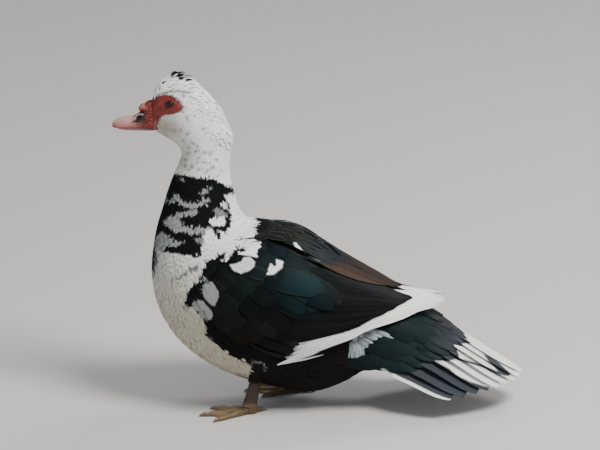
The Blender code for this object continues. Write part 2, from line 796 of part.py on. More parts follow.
def tail_ray(side, share):
    """The line and the upper normal of a tail feather, as functions of the share of its length. share is
    0 in the middle of the fan and 1 at its outer edge."""
    middle, outer = (Vector((x, side * y, z)) * MM for x, y, z in (TAIL_MIDDLE_TIP, TAIL_OUTER_TIP))
    angle = side * math.radians(mix(*TAIL_ROOT_ANGLES, share))
    root = body_point(TAIL_ROOT, angle, -TAIL_ROOT_DEPTH * MM)
    tip = Vector(
        (
            mix(middle.x, outer.x, share**1.6),
            mix(middle.y, outer.y, share**0.9),
            mix(middle.z, outer.z, share),
        )
    )
    lean = math.radians(mix(4, 42, share))
    root_up = body_normal(TAIL_ROOT, angle)
    tip_up = Vector((-0.42, side * math.sin(lean), math.cos(lean))).normalized()
    bow = (tip - root).length * mix(*TAIL_BOW, share)
    height = (0.9 + side * 0.9 * (1 - share) - TAIL_STEP * (TAIL_FEATHERS_A_SIDE - 1) * share) * MM

    def lie(f):
        return root_up.lerp(tip_up, smooth_step(0.0, 0.5, f)).normalized()

    def path(f):
        risen = height * smooth_step(0, 0.35, f) + TAIL_ROOT_DEPTH * MM * smooth_step(0, 0.15, f)
        return root + (tip - root) * f + lie(f) * (risen + bow * math.sin(math.pi * f))

    return path, lie


def tail_feather(name, side, share):
    path, lie = tail_ray(side, share)
    return vane(name, path, lie, TAIL_HALF_WIDTH, 5, side * 1.0, 0.8)


def tail_covert(name, side, share):
    """A covert that lies over the roots of the tail feathers."""
    path, lie = tail_ray(side, share)
    angle = side * math.radians(mix(*TAIL_ROOT_ANGLES, share))
    start = body_point(TAIL_ROOT - 0.9, angle, -TAIL_ROOT_DEPTH * MM)
    end = path(0.52) + lie(0.52) * COVERT_HEIGHT * MM

    def line(f):
        return start.lerp(end, f) + lie(0.5 * f) * COVERT_BOW * MM * math.sin(math.pi * f)

    return vane(name, line, lambda f: lie(0.5 * f), 12, 4, side * 0.8)


def tail_feathers():
    feathers = []
    for s, sign in SIDES.items():
        for k in range(TAIL_FEATHERS_A_SIDE):
            feathers.append(tail_feather(f"rectrix_{s}_{k}", sign, k / (TAIL_FEATHERS_A_SIDE - 1)))
        for k in range(UPPER_TAIL_COVERTS_A_SIDE):
            feathers.append(tail_covert(f"covert_{s}_{k}", sign, (k + 0.35) / UPPER_TAIL_COVERTS_A_SIDE))
    return feathers


def tail():
    made = tail_core("tail")
    boolean(made, tail_feathers(), "UNION")
    boolean(made, [torso_clearance("torso_room")], "DIFFERENCE")
    return finished(made, "dark_feather")


# ------------------------------------------------------------------ legs


CUFF = {"left": (66, 40), "right": (60, 30)}  # heights of the feathered cuff's hidden top and its end
CUFF_RADII = (21, 9.5)
LEG_SIDES = 10


def level_ring(centre, radius_x, radius_y, count=LEG_SIDES):
    turns = [2 * math.pi * k / count for k in range(count)]
    return [centre + Vector((radius_x * math.cos(a), radius_y * math.sin(a), 0)) * MM for a in turns]


def leg_line(side, height):
    """The middle of the shank at a height over the floor."""
    hock, ankle = Vector(LEGS[side]["hock"]), Vector(LEGS[side]["ankle"])
    share = (height - ankle.z) / (hock.z - ankle.z)
    return ankle.lerp(hock, share) * MM


def thigh(side):
    high, low = CUFF[side]
    rings = []
    for k in range(7):
        share = k / 6
        radius = mix(*CUFF_RADII, share**0.7)
        rings.append(level_ring(leg_line(side, mix(high, low, share)), radius, radius * 0.9, 16))
    made = loft(f"thigh_{side}", rings, "dark_feather")
    boolean(made, [torso_clearance("torso_room")], "DIFFERENCE")
    return finished(made, "dark_feather")


def leg(side):
    top, bottom = CUFF[side][1] - 0.3, LEGS[side]["ankle"][2] - 1
    rings = []
    for k in range(6):
        share = k / 5
        swell = 1 + 0.14 * math.cos(math.pi * share) ** 2 - 0.1 * math.sin(math.pi * share)
        rx, ry = (r * swell for r in SHANK_RADII)
        rings.append(level_ring(leg_line(side, mix(top, bottom, share)), rx, ry))
    return finished(loft(f"leg_{side}", rings, "leg_skin"), "leg_skin")


def toe_way(side, toe):
    """Where a toe starts, which way it points, and how far it goes."""
    angle, length = TOES[toe]
    outward = SIDES[side]
    heading = math.radians(outward * (LEGS[side]["toes_out"] + angle))
    ahead = Vector((math.cos(heading), math.sin(heading), 0))
    ankle = Vector(LEGS[side]["ankle"])
    start = Vector((ankle.x, ankle.y, 0)) * MM
    return start, ahead, length * MM


def toe_section(centre, ahead, half_width, height, count=6):
    """A flat-bottomed section across a toe."""
    side = Vector((-ahead.y, ahead.x, 0))
    ring = []
    for k in range(count):
        a = math.pi * k / (count - 1)
        ring.append(
            centre + side * half_width * math.cos(a) + Vector((0, 0, height * (0.22 + 0.78 * math.sin(a))))
        )
    ring.append(centre - side * half_width * 0.8)
    ring.append(centre + side * half_width * 0.8)
    return ring


def toe(side, name):
    start, ahead, length = toe_way(side, name)
    sections = []
    knuckles = 6
    for k in range(knuckles):
        f = k / (knuckles - 1)
        joint = 1.08 if k % 2 == 0 else 0.94
        width = TOE_HALF_WIDTH * MM * mix(1.1, 0.72, f) * joint
        height = TOE_HEIGHT * MM * mix(1.05, 0.62, f) * joint
        sections.append(toe_section(start + ahead * length * f, ahead, width, height))
    return loft(f"toe_{side}_{name}", sections, "leg_skin")


def web(side, first, second):
    """The skin stretched between two toes, its front edge hollowed."""
    start, ahead_a, length_a = toe_way(side, first)
    _, ahead_b, length_b = toe_way(side, second)
    points, count = [start - (ahead_a + ahead_b) * 2 * MM], 6
    for k in range(count + 1):
        share = k / count
        heading = ahead_a.lerp(ahead_b, share).normalized()
        reach = mix(length_a, length_b, share) * (0.94 - 0.2 * math.sin(math.pi * share))
        points.append(start + heading * reach)
    low = [p + Vector((0, 0, WEB_LOW * MM)) for p in points]
    high = [p + Vector((0, 0, WEB_HIGH * MM)) for p in points]
    return loft(f"web_{side}_{first}", [low, high], "leg_skin")


def foot(side):
    made = toe(side, "middle")
    made.name = f"foot_{side}"
    ankle = Vector(LEGS[side]["ankle"])
    heel = [
        level_ring(Vector((ankle.x, ankle.y, height)) * MM, *(r * grow for r in SHANK_RADII), 12)
        for height, grow in ((0, 0.95), (2, 1.15), (6, 1.2), (ankle.z - 1.3, 1.12))
    ]
    others = [loft(f"heel_{side}", heel, "leg_skin")]
    others += [toe(side, name) for name in ("inner", "outer", "hind")]
    others += [web(side, "inner", "middle"), web(side, "middle", "outer")]
    boolean(made, others, "UNION")
    return finished(made, "leg_skin")


def claw(side, name):
    start, ahead, length = toe_way(side, name)
    base = start + ahead * (length + GAP)
    sides, rings = 6, 4
    across = Vector((-ahead.y, ahead.x, 0))
    points, faces = [], []
    for r in range(rings):
        f = r / rings
        radius = CLAW_RADIUS * MM * (1 - f) ** 0.7
        drop = CLAW_RADIUS * MM * (1.15 - 0.75 * f * f) + 0.1 * MM
        centre = base + ahead * CLAW_LENGTH * MM * f + Vector((0, 0, drop))
        for k in range(sides):
            a = 2 * math.pi * k / sides
            rise = Vector((0, 0, radius * math.sin(a)))
            points.append(centre + across * radius * 0.85 * math.cos(a) + rise)
    points.append(base + ahead * CLAW_LENGTH * MM + Vector((0, 0, 0.9 * MM)))
    for r in range(rings - 1):
        for k in range(sides):
            a, b = r * sides + k, r * sides + (k + 1) % sides
            faces.append((a, b, b + sides, a + sides))
    faces.append(tuple(range(sides - 1, -1, -1)))
    start_ring = (rings - 1) * sides
    faces += [(start_ring + k, start_ring + (k + 1) % sides, len(points) - 1) for k in range(sides)]
    return finished(from_faces(f"claw_{side}_{name}", points, faces, "claw"), "claw")


# ------------------------------------------------------------------ assembly


def in_collection(name, objects):
    group = bpy.data.collections.new(name)
    bpy.context.scene.collection.children.link(group)
    for obj in objects:
        for old in list(obj.users_collection):
            old.objects.unlink(obj)
        group.objects.link(obj)


def build():
    clear_scene()
    parts = [head(), face_skin(), upper_bill(), lower_bill(), neck(), torso(), tail()]
    for side, sign in SIDES.items():
        eye = eye_ball(f"eye_{side}", sign)
        parts.append(finished(eye, "eye"))
        parts += [wing(side), thigh(side), leg(side), foot(side)]
        parts += [claw(side, name) for name in TOES]
    in_collection("muscovy_duck", parts)


build()
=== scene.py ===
"""The looks of the muscovy duck: skin, plumage, face, bill, eyes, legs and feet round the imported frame.

Metres, +X towards the bill, +Y to the bird's left, +Z up. The markings are laid out in a side view
from a little above, where one step is 1.3 mm (see side_view).
"""

import math

import bmesh
import bpy
import numpy as np
from mathutils import Matrix, Vector


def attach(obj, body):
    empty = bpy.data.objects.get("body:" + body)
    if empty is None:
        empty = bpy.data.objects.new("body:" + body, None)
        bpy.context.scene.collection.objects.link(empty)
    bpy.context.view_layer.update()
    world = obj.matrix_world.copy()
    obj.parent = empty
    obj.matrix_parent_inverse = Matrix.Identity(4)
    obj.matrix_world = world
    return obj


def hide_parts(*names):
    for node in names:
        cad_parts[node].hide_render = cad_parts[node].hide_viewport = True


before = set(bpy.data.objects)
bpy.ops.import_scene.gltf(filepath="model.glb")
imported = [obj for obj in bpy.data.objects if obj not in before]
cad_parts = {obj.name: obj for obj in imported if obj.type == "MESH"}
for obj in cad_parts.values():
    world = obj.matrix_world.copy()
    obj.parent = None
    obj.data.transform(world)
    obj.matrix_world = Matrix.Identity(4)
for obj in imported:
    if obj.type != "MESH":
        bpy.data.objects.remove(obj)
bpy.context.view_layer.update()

MM = 0.001
SIDES = {"left": 1, "right": -1}
SEEDS = {"skin": 3, "crest": 9, "coat": 20, "face": 31, "wings": 50, "tail": 71, "cuff": 81, "tuft": 91}
# Rows, and points round or across, in the mesh of each modelled piece.
MESH = {
    "skin_body": (150, 96),
    "skin_wing": (40, 30),
    "skin_cuff": (10, 24),
    "face_front": (46, 90),
    "face_arm": (70, 44),
    "lid": (56, 14),
    "eye": (36, 48),
    "bill_upper": (120, 56),
    "bill_lower": (90, 40),
    "shank": (110, 48),
    "toe": (46, 28),
    "web": (30, 24),
    "claw": (20, 20),
}
# Feathers: rows along each, its width at the root, where its tip's taper starts, and how blunt it is.
FEATHERS = {
    "flank_tuft": (10, 0.6, 0.35, 1.4),
    "low_primary": (14, 0.8, 0.1, 1.2),
    "tail_feather": (84, 0.42, 0.66, 2.0),
    "tail_covert": (14, 0.5, 0.6, 2.0),
    "crest": (12, 0.8, 0.5, 2.0),
    "cuff": (5, 0.5, 0.5, 2.0),
}

# ------------------------------------------------------------------ the body's own sizes, millimetres

# Stations from the bill to the end of the tail's core: (back x, z), (underside x, z), half width.
BODY = {
    "bill_base": ((213, 410), (211, 370.5), 13.4),
    "forehead": ((204.5, 424), (204, 366), 20),
    "brow": ((190, 433.5), (194, 360), 25),
    "crown": ((173, 436), (185, 354), 28.5),
    "hind_crown": ((154, 426), (179, 348), 30.5),
    "nape_top": ((136, 409), (176, 342), 31),
    "nape": ((122, 388), (175.5, 336), 30),
    "throat": ((114, 365), (177, 330), 29),
    "upper_neck": ((113, 340), (181, 320), 29),
    "mid_neck": ((113, 313), (187, 306), 31),
    "lower_neck": ((108, 286), (194, 286), 35),
    "neck_base": ((100, 261), (201, 262), 42),
    "mantle": ((87, 246), (208, 237), 52),
    "shoulder": ((69, 242), (213, 207), 63),
    "chest": ((50, 238), (214.5, 175), 71),
    "breast": ((32, 232), (208, 137), 77),
    "keel_front": ((13.5, 223.5), (190, 101), 80),
    "keel": ((-5.5, 211.5), (162.5, 72), 81),
    "belly_front": ((-25, 199), (126, 49), 81),
    "belly": ((-44.5, 186), (87, 34), 80),
    "flank": ((-64, 173), (45.5, 24), 76),
    "thigh": ((-84, 160.5), (6.5, 19), 69),
    "vent": ((-104, 149), (-30, 30), 58),
    "rump": ((-124, 137), (-58.5, 46), 48),
    "tail_base": ((-147, 123), (-90, 56), 44),
    "tail_core": ((-172, 104), (-128, 58), 40),
    "tail_core_end": ((-196, 84), (-162, 60), 34),
}
STATION = {name: number for number, name in enumerate(BODY)}
BODY_ROWS = np.array([[*back, *under, width] for back, under, width in BODY.values()]) * MM
ROUND_HEAD, FULL_TORSO = 2.0, 2.25

# The folded wing's envelope: x, centre height, half height, half width, and the angles from the top
# of its upper and lower edge.
WING = {
    "bend": (146, 165, 74, 75, 50, 109),
    "forearm": (110.5, 155, 85, 88, 30, 117),
    "shoulder": (71.5, 149, 85.5, 94, 13.5, 126),
    "elbow": (26, 139, 90, 94, 9, 123),
    "rump": (-30, 124, 70.5, 86, 5.5, 107),
    "secondary_ends": (-82, 118, 47.5, 66, 5.5, 88),
    "tertial_ends": (-108, 118, 34.5, 53, 7, 78),
    "primary_fan": (-134, 125, 24, 37, 10, 71),
    "tip": (-169, 138, 6, 21, 20, 80),
}
WING_ROWS = np.array([[*(v * MM for v in row[:4]), *np.radians(row[4:])] for row in WING.values()])
WING_SQUARE = 2.4

# The coat, by station: feather length, half width, spacing along the body, and depth over the skin.
COAT = {
    0.0: (5.0, 0.85, 1.25, 0.9),
    2.0: (6.8, 1.0, 1.5, 1.4),
    5.0: (8.8, 1.25, 1.85, 2.0),
    8.0: (11.5, 1.6, 2.3, 2.6),
    11.0: (14.5, 2.0, 2.8, 3.4),
    14.0: (18.0, 2.5, 3.4, 4.2),
    18.0: (21.0, 3.0, 4.2, 4.6),
    23.0: (24.0, 4.0, 5.4, 4.6),
    26.0: (26.0, 4.6, 6.0, 4.0),
}


# ------------------------------------------------------------------ curves and surfaces


def through(rows, t):
    """The values at station numbers t on the smooth curve through the rows."""
    last = len(rows) - 1
    t = np.clip(np.asarray(t, float), 0, last)
    i = np.minimum(t.astype(int), last - 1)
    f = (t - i)[..., None]
    padded = np.vstack([2 * rows[0] - rows[1], rows, 2 * rows[-1] - rows[-2]])
    a, b, c, d = (padded[i + k] for k in range(4))
    return 0.5 * (2 * b + (c - a) * f + (2 * a - 5 * b + 4 * c - d) * f**2 + (3 * b - a - 3 * c + d) * f**3)


def smooth_step(low, high, value):
    share = np.clip((np.asarray(value, float) - low) / (high - low), 0, 1)
    return share * share * (3 - 2 * share)


def mix(a, b, share):
    return a + (b - a) * share


def squared(value, power):
    """A sine or cosine bent so that its section is fuller than an ellipse."""
    return np.copysign(np.abs(value) ** (2 / power), value)


SLOPE_STEP = 0.02  # of each parameter, where a surface's slope is taken


def unit(v):
    return v / np.maximum(np.linalg.norm(v, axis=-1, keepdims=True), 1e-12)


def stack(*parts):
    return np.stack(np.broadcast_arrays(*parts), axis=-1)


def over(colour, tone, share):
    """The colour with a tone laid over it by its share at each place."""
    return mix(colour, tone, np.asarray(share)[..., None])


def hump(*away):
    """1 in the middle and fading out beyond 1."""
    return np.exp(-sum(np.square(a) for a in away))


def circle(count):
    """Even angles all the way round, as a row."""
    return np.linspace(0, 2 * math.pi, count, endpoint=False)[None]


def steps(count):
    """Even steps from 0 to 1, as a column."""
    return np.linspace(0, 1, count)[:, None]


def floats(*values):
    """The values as float arrays of one shape."""
    return np.broadcast_arrays(*(np.asarray(v, float) for v in values))


def body_base(t, angle):
    t, angle = floats(t, angle)
    back_x, back_z, under_x, under_z, width = np.moveaxis(through(BODY_ROWS, t), -1, 0)
    back, under = stack(back_x, 0.0, back_z), stack(under_x, 0.0, under_z)
    power = mix(ROUND_HEAD, FULL_TORSO, smooth_step(STATION["lower_neck"], STATION["breast"], t))
    up = squared(np.cos(angle), power)[..., None]
    across = width * squared(np.sin(angle), power)
    return (back + under) / 2 + (back - under) / 2 * up + stack(0.0, across, 0.0)


def surface_normal(base, a, b):
    """The outward normal of a surface that base(a, b) gives."""
    first = base(a + SLOPE_STEP, b) - base(a - SLOPE_STEP, b)
    second = base(a, b + SLOPE_STEP) - base(a, b - SLOPE_STEP)
    return unit(np.cross(second, first))


def body_normal(t, angle):
    return surface_normal(body_base, t, angle)


def body_point(t, angle, out=0.0):
    """Points of the body's surface: angle 0 is on the back, pi underneath, positive to the left."""
    t, angle, out = floats(t, angle, out)
    return body_base(t, angle) + body_normal(t, angle) * out[..., None]


def wing_base(u, v):
    u, v = floats(u, v)
    x, middle, height, width, upper, lower = np.moveaxis(through(WING_ROWS, u), -1, 0)
    angle = mix(upper, lower, v)
    across = width * squared(np.sin(angle), WING_SQUARE)
    return stack(x, across, middle + height * squared(np.cos(angle), WING_SQUARE))


def wing_normal(u, v):
    return surface_normal(wing_base, u, v)


def wing_point(u, v, out=0.0):
    """Points of the left wing's surface: u from the bend to the tip, v from the upper edge to the lower."""
    u, v, out = floats(u, v, out)
    return wing_base(u, v) + wing_normal(u, v) * out[..., None]


# ------------------------------------------------------------------ the side view of the markings

STEP = 1.3 * MM  # one step of the side view
VIEW_X, VIEW_Y = 317, 402  # where the frame's origin lies in it
VIEW_TILT = math.radians(17)


def side_view(points):
    """Places in the side view, across and down. Both sides of the bird are seen as its left one."""
    x, y, z = points[..., 0], np.abs(points[..., 1]), points[..., 2]
    return VIEW_X - x / STEP, VIEW_Y + (math.sin(VIEW_TILT) * y - math.cos(VIEW_TILT) * z) / STEP


# Where each tone or shape begins and where it is full.
ZONES = {
    # the feathers of the wing and the flank, across and down the side view
    "tertial_hind": (349, 354), "tertial_low": (261, 264), "tertial_far": (320, 328),
    "scapular_slate": (295, 335), "scapular_rim": (300, 330), "tuft_over_tail": (374, 394),
    # along a feather, as a share of its length
    "vane_tip": (0.93, 1.0), "rim_tip": (0.965, 1.0), "rim_start": (0.2, 0.4), "vane_light": (0.1, 0.8),
    "teal": (0.25, 0.85), "tuft_root_shade": (0.1, 0.9), "crest_dark_tip": (0.56, 0.76),
    "crest_dark": (0.3, 0.55), "crest_root_shade": (0.0, 0.6), "coat_root_shade": (0.0, 0.7),
    # across a feather, from its shaft to its edge
    "vane_edge": (0.78, 1.0), "rim_edge": (0.86, 0.97), "fan_rim": (0.6, 0.7),
    # the face, in millimetres
    "crease_shade": (0.08, 0.3), "lids": (4.2, 7.2), "knob": (217, 229), "knob_highlight_top": (396, 404),
    "gape": (0.6, 1.9), "skin_end": (219, 225), "skin_side": (388, 396),
    # the eye, in radians from its middle
    "pupil": (0.36, 0.4), "eye_rim": (0.6, 0.72), "cornea": (0.35, 0.75),
    # the bill, in millimetres, with bill_pale and nostril as shares of their size
    "bill_tip": (236.5, 240.5), "bill_pink": (226, 248), "bill_dark": (380.5, 384.5),
    "bill_edge": (376, 379.5), "bill_pale": (0.1, 1.0), "nostril": (0.8, 1.15), "nail": (258.5, 262),
    "nail_side": (4.0, 6.5), "mouth": (0.3, 1.0), "lower_pink": (218, 236),
    # the legs, in millimetres
    "shank_dark": (9, 18), "cuff_dark": (-15, 3), "toe_side": (3.6, 4.8), "web": (4.2, 6.0),
}


def zone(name, value):
    """0 before the zone, 1 beyond it."""
    return smooth_step(*ZONES[name], value)


def inside(area, across, down):
    """Whether each place lies inside the closed outline."""
    found = np.zeros(across.shape, bool)
    for (x0, y0), (x1, y1) in zip(area, area[1:] + area[:1]):
        crosses = (y0 > down) != (y1 > down)
        if y0 != y1:
            found ^= crosses & (across < (x1 - x0) * (down - y0) / (y1 - y0) + x0)
    return found


def from_line(line, across, down):
    """Each place's distance from a line of points."""
    best = np.full(across.shape, 1e9)
    for (x0, y0), (x1, y1) in zip(line, line[1:]):
        length = (x1 - x0) ** 2 + (y1 - y0) ** 2
        share = np.clip(((across - x0) * (x1 - x0) + (down - y0) * (y1 - y0)) / length, 0, 1)
        gap = np.hypot(across - x0 - share * (x1 - x0), down - y0 - share * (y1 - y0))
        best = np.minimum(best, gap)
    return best


PLUMAGE = {  # linear colours
    "white": (0.88, 0.88, 0.86),
    "pale": (0.62, 0.63, 0.62),
    "grey": (0.3, 0.31, 0.305),
    "smoke": (0.2, 0.2, 0.2),
    "black": (0.0055, 0.006, 0.0065),
    "brown_black": (0.0092, 0.0082, 0.007),
    "green_black": (0.0055, 0.012, 0.0115),
    "teal": (0.0046, 0.017, 0.019),
    # painted sheen on the rims of the dark feathers
    "rim_sheen_green": (0.11, 0.15, 0.09),
    "brown": (0.035, 0.02, 0.0132),
    "slate": (0.012, 0.0155, 0.019),
    # the dark tail feathers' slate with a painted blue-grey sheen on it
    "tail_slate": (0.044, 0.05, 0.059),
    "tail_green": (0.011, 0.021, 0.0225),
    # white feathers in painted blue shade
    "blue_grey": (0.4, 0.46, 0.48),
    # a dull cream, darkened by painted shade
    "cream_and_shade": (0.4, 0.354, 0.24),
}
TONES = {name: np.array(tone) for name, tone in PLUMAGE.items()}

# The body's markings in the order in which they cover one another: what they are, their tone, and
# an outline ("area") or a line with its half width ("line").
MARKS = (
    ("collar", "black", "area", ((174, 173), (191, 176), (198, 177.5), (208, 178.5), (214, 178),
        (220, 182.5), (225, 185), (234, 187), (236, 193), (224, 196), (230, 205), (230, 212),
        (232, 220), (228, 231), (219, 239), (214, 233), (211, 227), (206, 228), (203, 240), (201, 255),
        (195, 258), (186, 255), (178, 253.5), (166, 252), (158, 251), (153, 279), (140, 279),
        (140, 200))),
    ("throat_spot", "grey", "line", ((181, 179), (183, 180)), 1.4),
    ("collar_bar", "grey", "line", ((201, 193), (210, 188.5)), 1.8),
    ("collar_arc", "grey", "line", ((176, 196.5), (180, 201), (186.5, 205), (195, 206.5), (203, 203),
        (207, 200)), 2.3),
    ("front_bar", "grey", "line", ((167, 200.5), (174, 201.5)), 1.5),
    ("second_bar", "grey", "line", ((178, 215.5), (184, 214), (195, 212)), 2.6),
    ("neck_blob", "grey", "area", ((163, 222), (169, 217), (176, 216), (182, 222), (183, 229),
        (177, 233), (170, 228))),
    ("streaks", "grey", "line", ((184, 229), (193, 231), (203, 230)), 3.2),
    ("low_patch", "grey", "area", ((155, 244), (157, 236), (163, 231), (172, 238), (183, 243),
        (176, 246.5), (165, 246), (162, 251), (155, 252))),
    ("side_streaks", "smoke", "line", ((197, 240), (203, 241)), 2.5),
    ("hind_speckle", "smoke", "line", ((217, 211), (224, 215)), 3.5),
    ("hind_spot", "white", "line", ((224, 205), (226, 207)), 2.2),
    ("hind_patch", "white", "line", ((215, 222), (222, 221)), 4.6),
    ("hind_streak", "white", "line", ((218, 231), (223, 235)), 1.5),
    ("breast_smudge", "smoke", "line", ((198, 266), (187, 273), (177, 279)), 2.2),
    ("front_streak", "smoke", "line", ((157, 254), (156, 266)), 1.6),
    ("side", "black", "area", ((213, 257), (206.5, 261), (204.5, 267), (200.4, 277), (196.8, 282),
        (192, 286), (187.5, 292), (185.5, 299), (186, 306), (188.5, 309.5), (191, 306.5), (194, 305),
        (198, 312), (202, 319), (206, 326), (205, 329), (207.5, 335), (211, 339.5), (216, 344),
        (224, 351.5), (238, 357.5), (248, 363), (252, 368), (251, 377), (262, 400), (600, 420), (600, 200),
        (400, 180), (262, 200), (259, 223), (255, 229), (256, 232), (254, 237), (241, 238.5), (234, 240.5),
        (254, 239), (260, 242), (261.5, 247), (258, 249), (256, 256), (238, 253), (247, 251), (243, 246),
        (236, 248), (231, 256), (227, 262), (224, 261), (226, 252))),
    ("oval", "grey", "area", ((202, 288.5), (204.5, 284), (208.6, 281.3), (212.7, 281.8), (215.7, 286.4),
        (218.8, 291.5), (219.3, 295.6), (217.8, 299.7), (215.2, 305.8), (211.6, 304.8), (207.5, 300.7),
        (204.5, 296.6))),
    ("oval_spot", "grey", "line", ((203, 279), (207, 279.5)), 1.2),
    ("fingers", "grey", "area", ((193, 303.5), (198, 299.5), (203, 300.7), (207.5, 304), (213, 312),
        (213.3, 315), (211.6, 318.5), (208.6, 320.5), (205.5, 321), (200.4, 316.5), (196.5, 311))),
    ("finger_gap", "black", "line", ((194.5, 308.5), (200, 312.5)), 0.6),
    ("finger_gap_below", "black", "line", ((204.5, 311), (205.5, 321)), 0.7),
    ("finger_gap_above", "black", "line", ((205.5, 302.5), (214.7, 312)), 0.7),
    ("belly", "brown_black", "area", ((225, 352), (280, 362), (345, 345), (400, 320), (420, 345),
        (380, 372), (372, 382), (340, 396), (262, 400), (252, 378), (250, 362))),
    ("knee_fleck", "smoke", "line", ((253, 361), (258, 362)), 1.3),
    ("thigh_fleck", "smoke", "line", ((263, 365), (265, 369)), 1.3),
    # the flank's white feathers, painted in blue shade under the wing's edge
    ("flank_tuft", "blue_grey", "area", ((349, 356), (352, 340), (362, 333), (384, 328), (392, 333),
        (388, 343), (376, 347), (372, 357), (362, 362))),
)
FLECKS = (  # small grey flecks on the head and neck
    (184, 96), (185, 113), (187, 117), (194, 116), (204, 129), (206, 133), (174, 131), (181, 130.5),
    (188, 134), (184, 141), (190, 148), (197, 152), (186, 160), (192, 166), (188, 169), (199, 170),
    (206, 172), (213, 168), (218, 176), (204, 162), (188, 120), (193, 143), (197, 146), (220, 145),
    (186, 165), (193, 168), (209, 163), (213, 166), (216, 169), (205, 153), (211, 153), (217, 160),
    (200, 158), (189, 153), (202, 168), (209, 170), (223, 172), (196, 163),
)
FLECK_RIM, FLECK_STRETCH, FLECK_SHARE = (0.8, 2.0), 1.5, 0.75
# The white turns to cream down the bird, partly its own dull tone and partly painted shade on the
# underside, and is dull and in painted shade at the throat, the front of the neck and the breast:
# middle, half width and half height, and share.
CREAM_AND_SHADE_FROM_TO, CREAM_AND_SHADE_SHARE = (225, 330), 0.8
DULL_AND_SHADED_PLACES = ((165, 128), (16, 14), 0.8), ((182, 160), (13, 20), 0.55), ((160, 262), (26, 40), 0.4)
BODY_MARK_EDGE = 0.9  # how soft a mark's edge is, in steps of the side view


def near_outline(line, across, down, margin):
    """Which places are within a margin of the outline's box."""
    line = np.array(line)
    (left, top), (right, bottom) = line.min(axis=0) - margin, line.max(axis=0) + margin
    return (across > left) & (across < right) & (down > top) & (down < bottom)


def mark_share(kind, shape, across, down, soft):
    """1 within a mark and 0 outside it, with a soft edge."""
    line, width = list(shape[0]), 0.0 if kind == "area" else shape[1]
    share = np.zeros(across.shape)
    near = near_outline(line, across, down, width + soft)
    x, y = across[near], down[near]
    if kind == "area":
        away = from_line([*line, line[0]], x, y)
        away = np.where(inside(line, x, y), -away, away)
    else:
        away = from_line(line, x, y) - width
    share[near] = 1 - smooth_step(-soft, soft, away)
    return share


def paint(colour, marks, across, down, soft):
    """The colours with the marks laid over them."""
    for _, tone, kind, *shape in marks:
        colour = over(colour, TONES[tone], mark_share(kind, shape, across, down, soft))
    return colour


def spotted(colour, tone, places, across, down):
    """The colours with a tone laid over them in soft places: middle, half width and half height, share."""
    for (x, y), (wide, tall), share in places:
        colour = over(colour, TONES[tone], hump((across - x) / wide, (down - y) / tall) * share)
    return colour


def plumage(points, draw, rough=0.9):
    """The plumage's tone at each point. The edges of the marks are rough from feather to feather."""
    across, down = side_view(points)
    shift = draw.normal(0, rough, (2, len(across)) + (1,) * (across.ndim - 1))
    across, down = across + shift[0], down + shift[1]
    # the cream down the bird and the dull places are partly painted shade
    colour = over(TONES["white"], TONES["cream_and_shade"], smooth_step(*CREAM_AND_SHADE_FROM_TO, down) * CREAM_AND_SHADE_SHARE)
    colour = spotted(colour, "cream_and_shade", DULL_AND_SHADED_PLACES, across, down)
    for x, y in FLECKS:
        near = 1 - smooth_step(*FLECK_RIM, np.hypot((across - x) / FLECK_STRETCH, down - y))
        colour = over(colour, TONES["smoke"], near * FLECK_SHARE)
    return paint(colour, MARKS, across, down, BODY_MARK_EDGE)


# ------------------------------------------------------------------ meshes

BARB_SHIFT = 0.37  # sets each feather's pattern of barbs off from the next one's
SHARP_ANGLE = math.radians(70)
VANE_TOP = 15  # points across the upper face of a long feather


def place(obj, slot, *nodes):
    """Sets the piece on the body and hides the nodes that it stands for. slot is not used."""
    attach(obj, "root")
    if nodes:
        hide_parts(*nodes)


def new_object(name, data, finish):
    obj = bpy.data.objects.new(name, data)
    bpy.context.scene.collection.objects.link(obj)
    data.materials.clear()
    data.materials.append(finish)
    return obj


def point_attribute(data, name, kind, values):
    made = data.attributes.new(name, kind, "POINT")
    key = "color" if kind == "FLOAT_COLOR" else "vector"
    made.data.foreach_set(key, np.asarray(values, np.float32).ravel())


def tinted(data, colours):
    alpha = np.ones((len(colours), 1))
    point_attribute(data, "tint", "FLOAT_COLOR", np.hstack([colours, alpha]))


def mesh_from(name, points, loops, starts):
    data = bpy.data.meshes.new(name)
    data.vertices.add(len(points))
    data.vertices.foreach_set("co", np.asarray(points, np.float32).ravel())
    data.loops.add(len(loops))
    data.loops.foreach_set("vertex_index", np.asarray(loops, np.int32))
    data.polygons.add(len(starts))
    data.polygons.foreach_set("loop_start", np.asarray(starts, np.int32))
    data.update(calc_edges=True)
    return data


def tube_faces(rows, ring):
    """Corner lists for rings joined in a row, with a cap at each end."""
    r, k = np.meshgrid(np.arange(rows - 1), np.arange(ring), indexing="ij")
    a, b = r * ring + k, r * ring + (k + 1) % ring
    sides = np.stack([a, b, b + ring, a + ring], axis=-1).ravel()
    caps = np.arange(ring)[::-1], (rows - 1) * ring + np.arange(ring)
    starts = np.append(np.arange(0, len(sides), 4), (len(sides), len(sides) + ring))
    return np.concatenate([sides, *caps]), starts


def vane_spread(top=VANE_TOP):
    """Where a vane's points lie across it, from -1 to 1, with the one beneath it last."""
    return np.append(np.linspace(-1, 1, top), 0.0)


def vane_bake(bake, cell, spread, rows):
    """Each point's place on the bake map, in its feather's own cell."""
    sideways, along = np.meshgrid((spread + 1) / 2, np.linspace(0, 1, rows))
    return bake[:, None, None] + np.stack([sideways, along], axis=-1) * cell


def vane_barbs(middle, half, spread):
    """Each point's place on its feather in millimetres, across and along, and the feather's own number."""
    length = np.cumsum(np.linalg.norm(np.diff(middle, axis=1, prepend=middle[:, :1]), axis=-1), axis=1)
    number = np.arange(len(half))[:, None, None] * BARB_SHIFT
    return stack(half[:, :, None] * spread / MM, length[:, :, None] / MM, number)


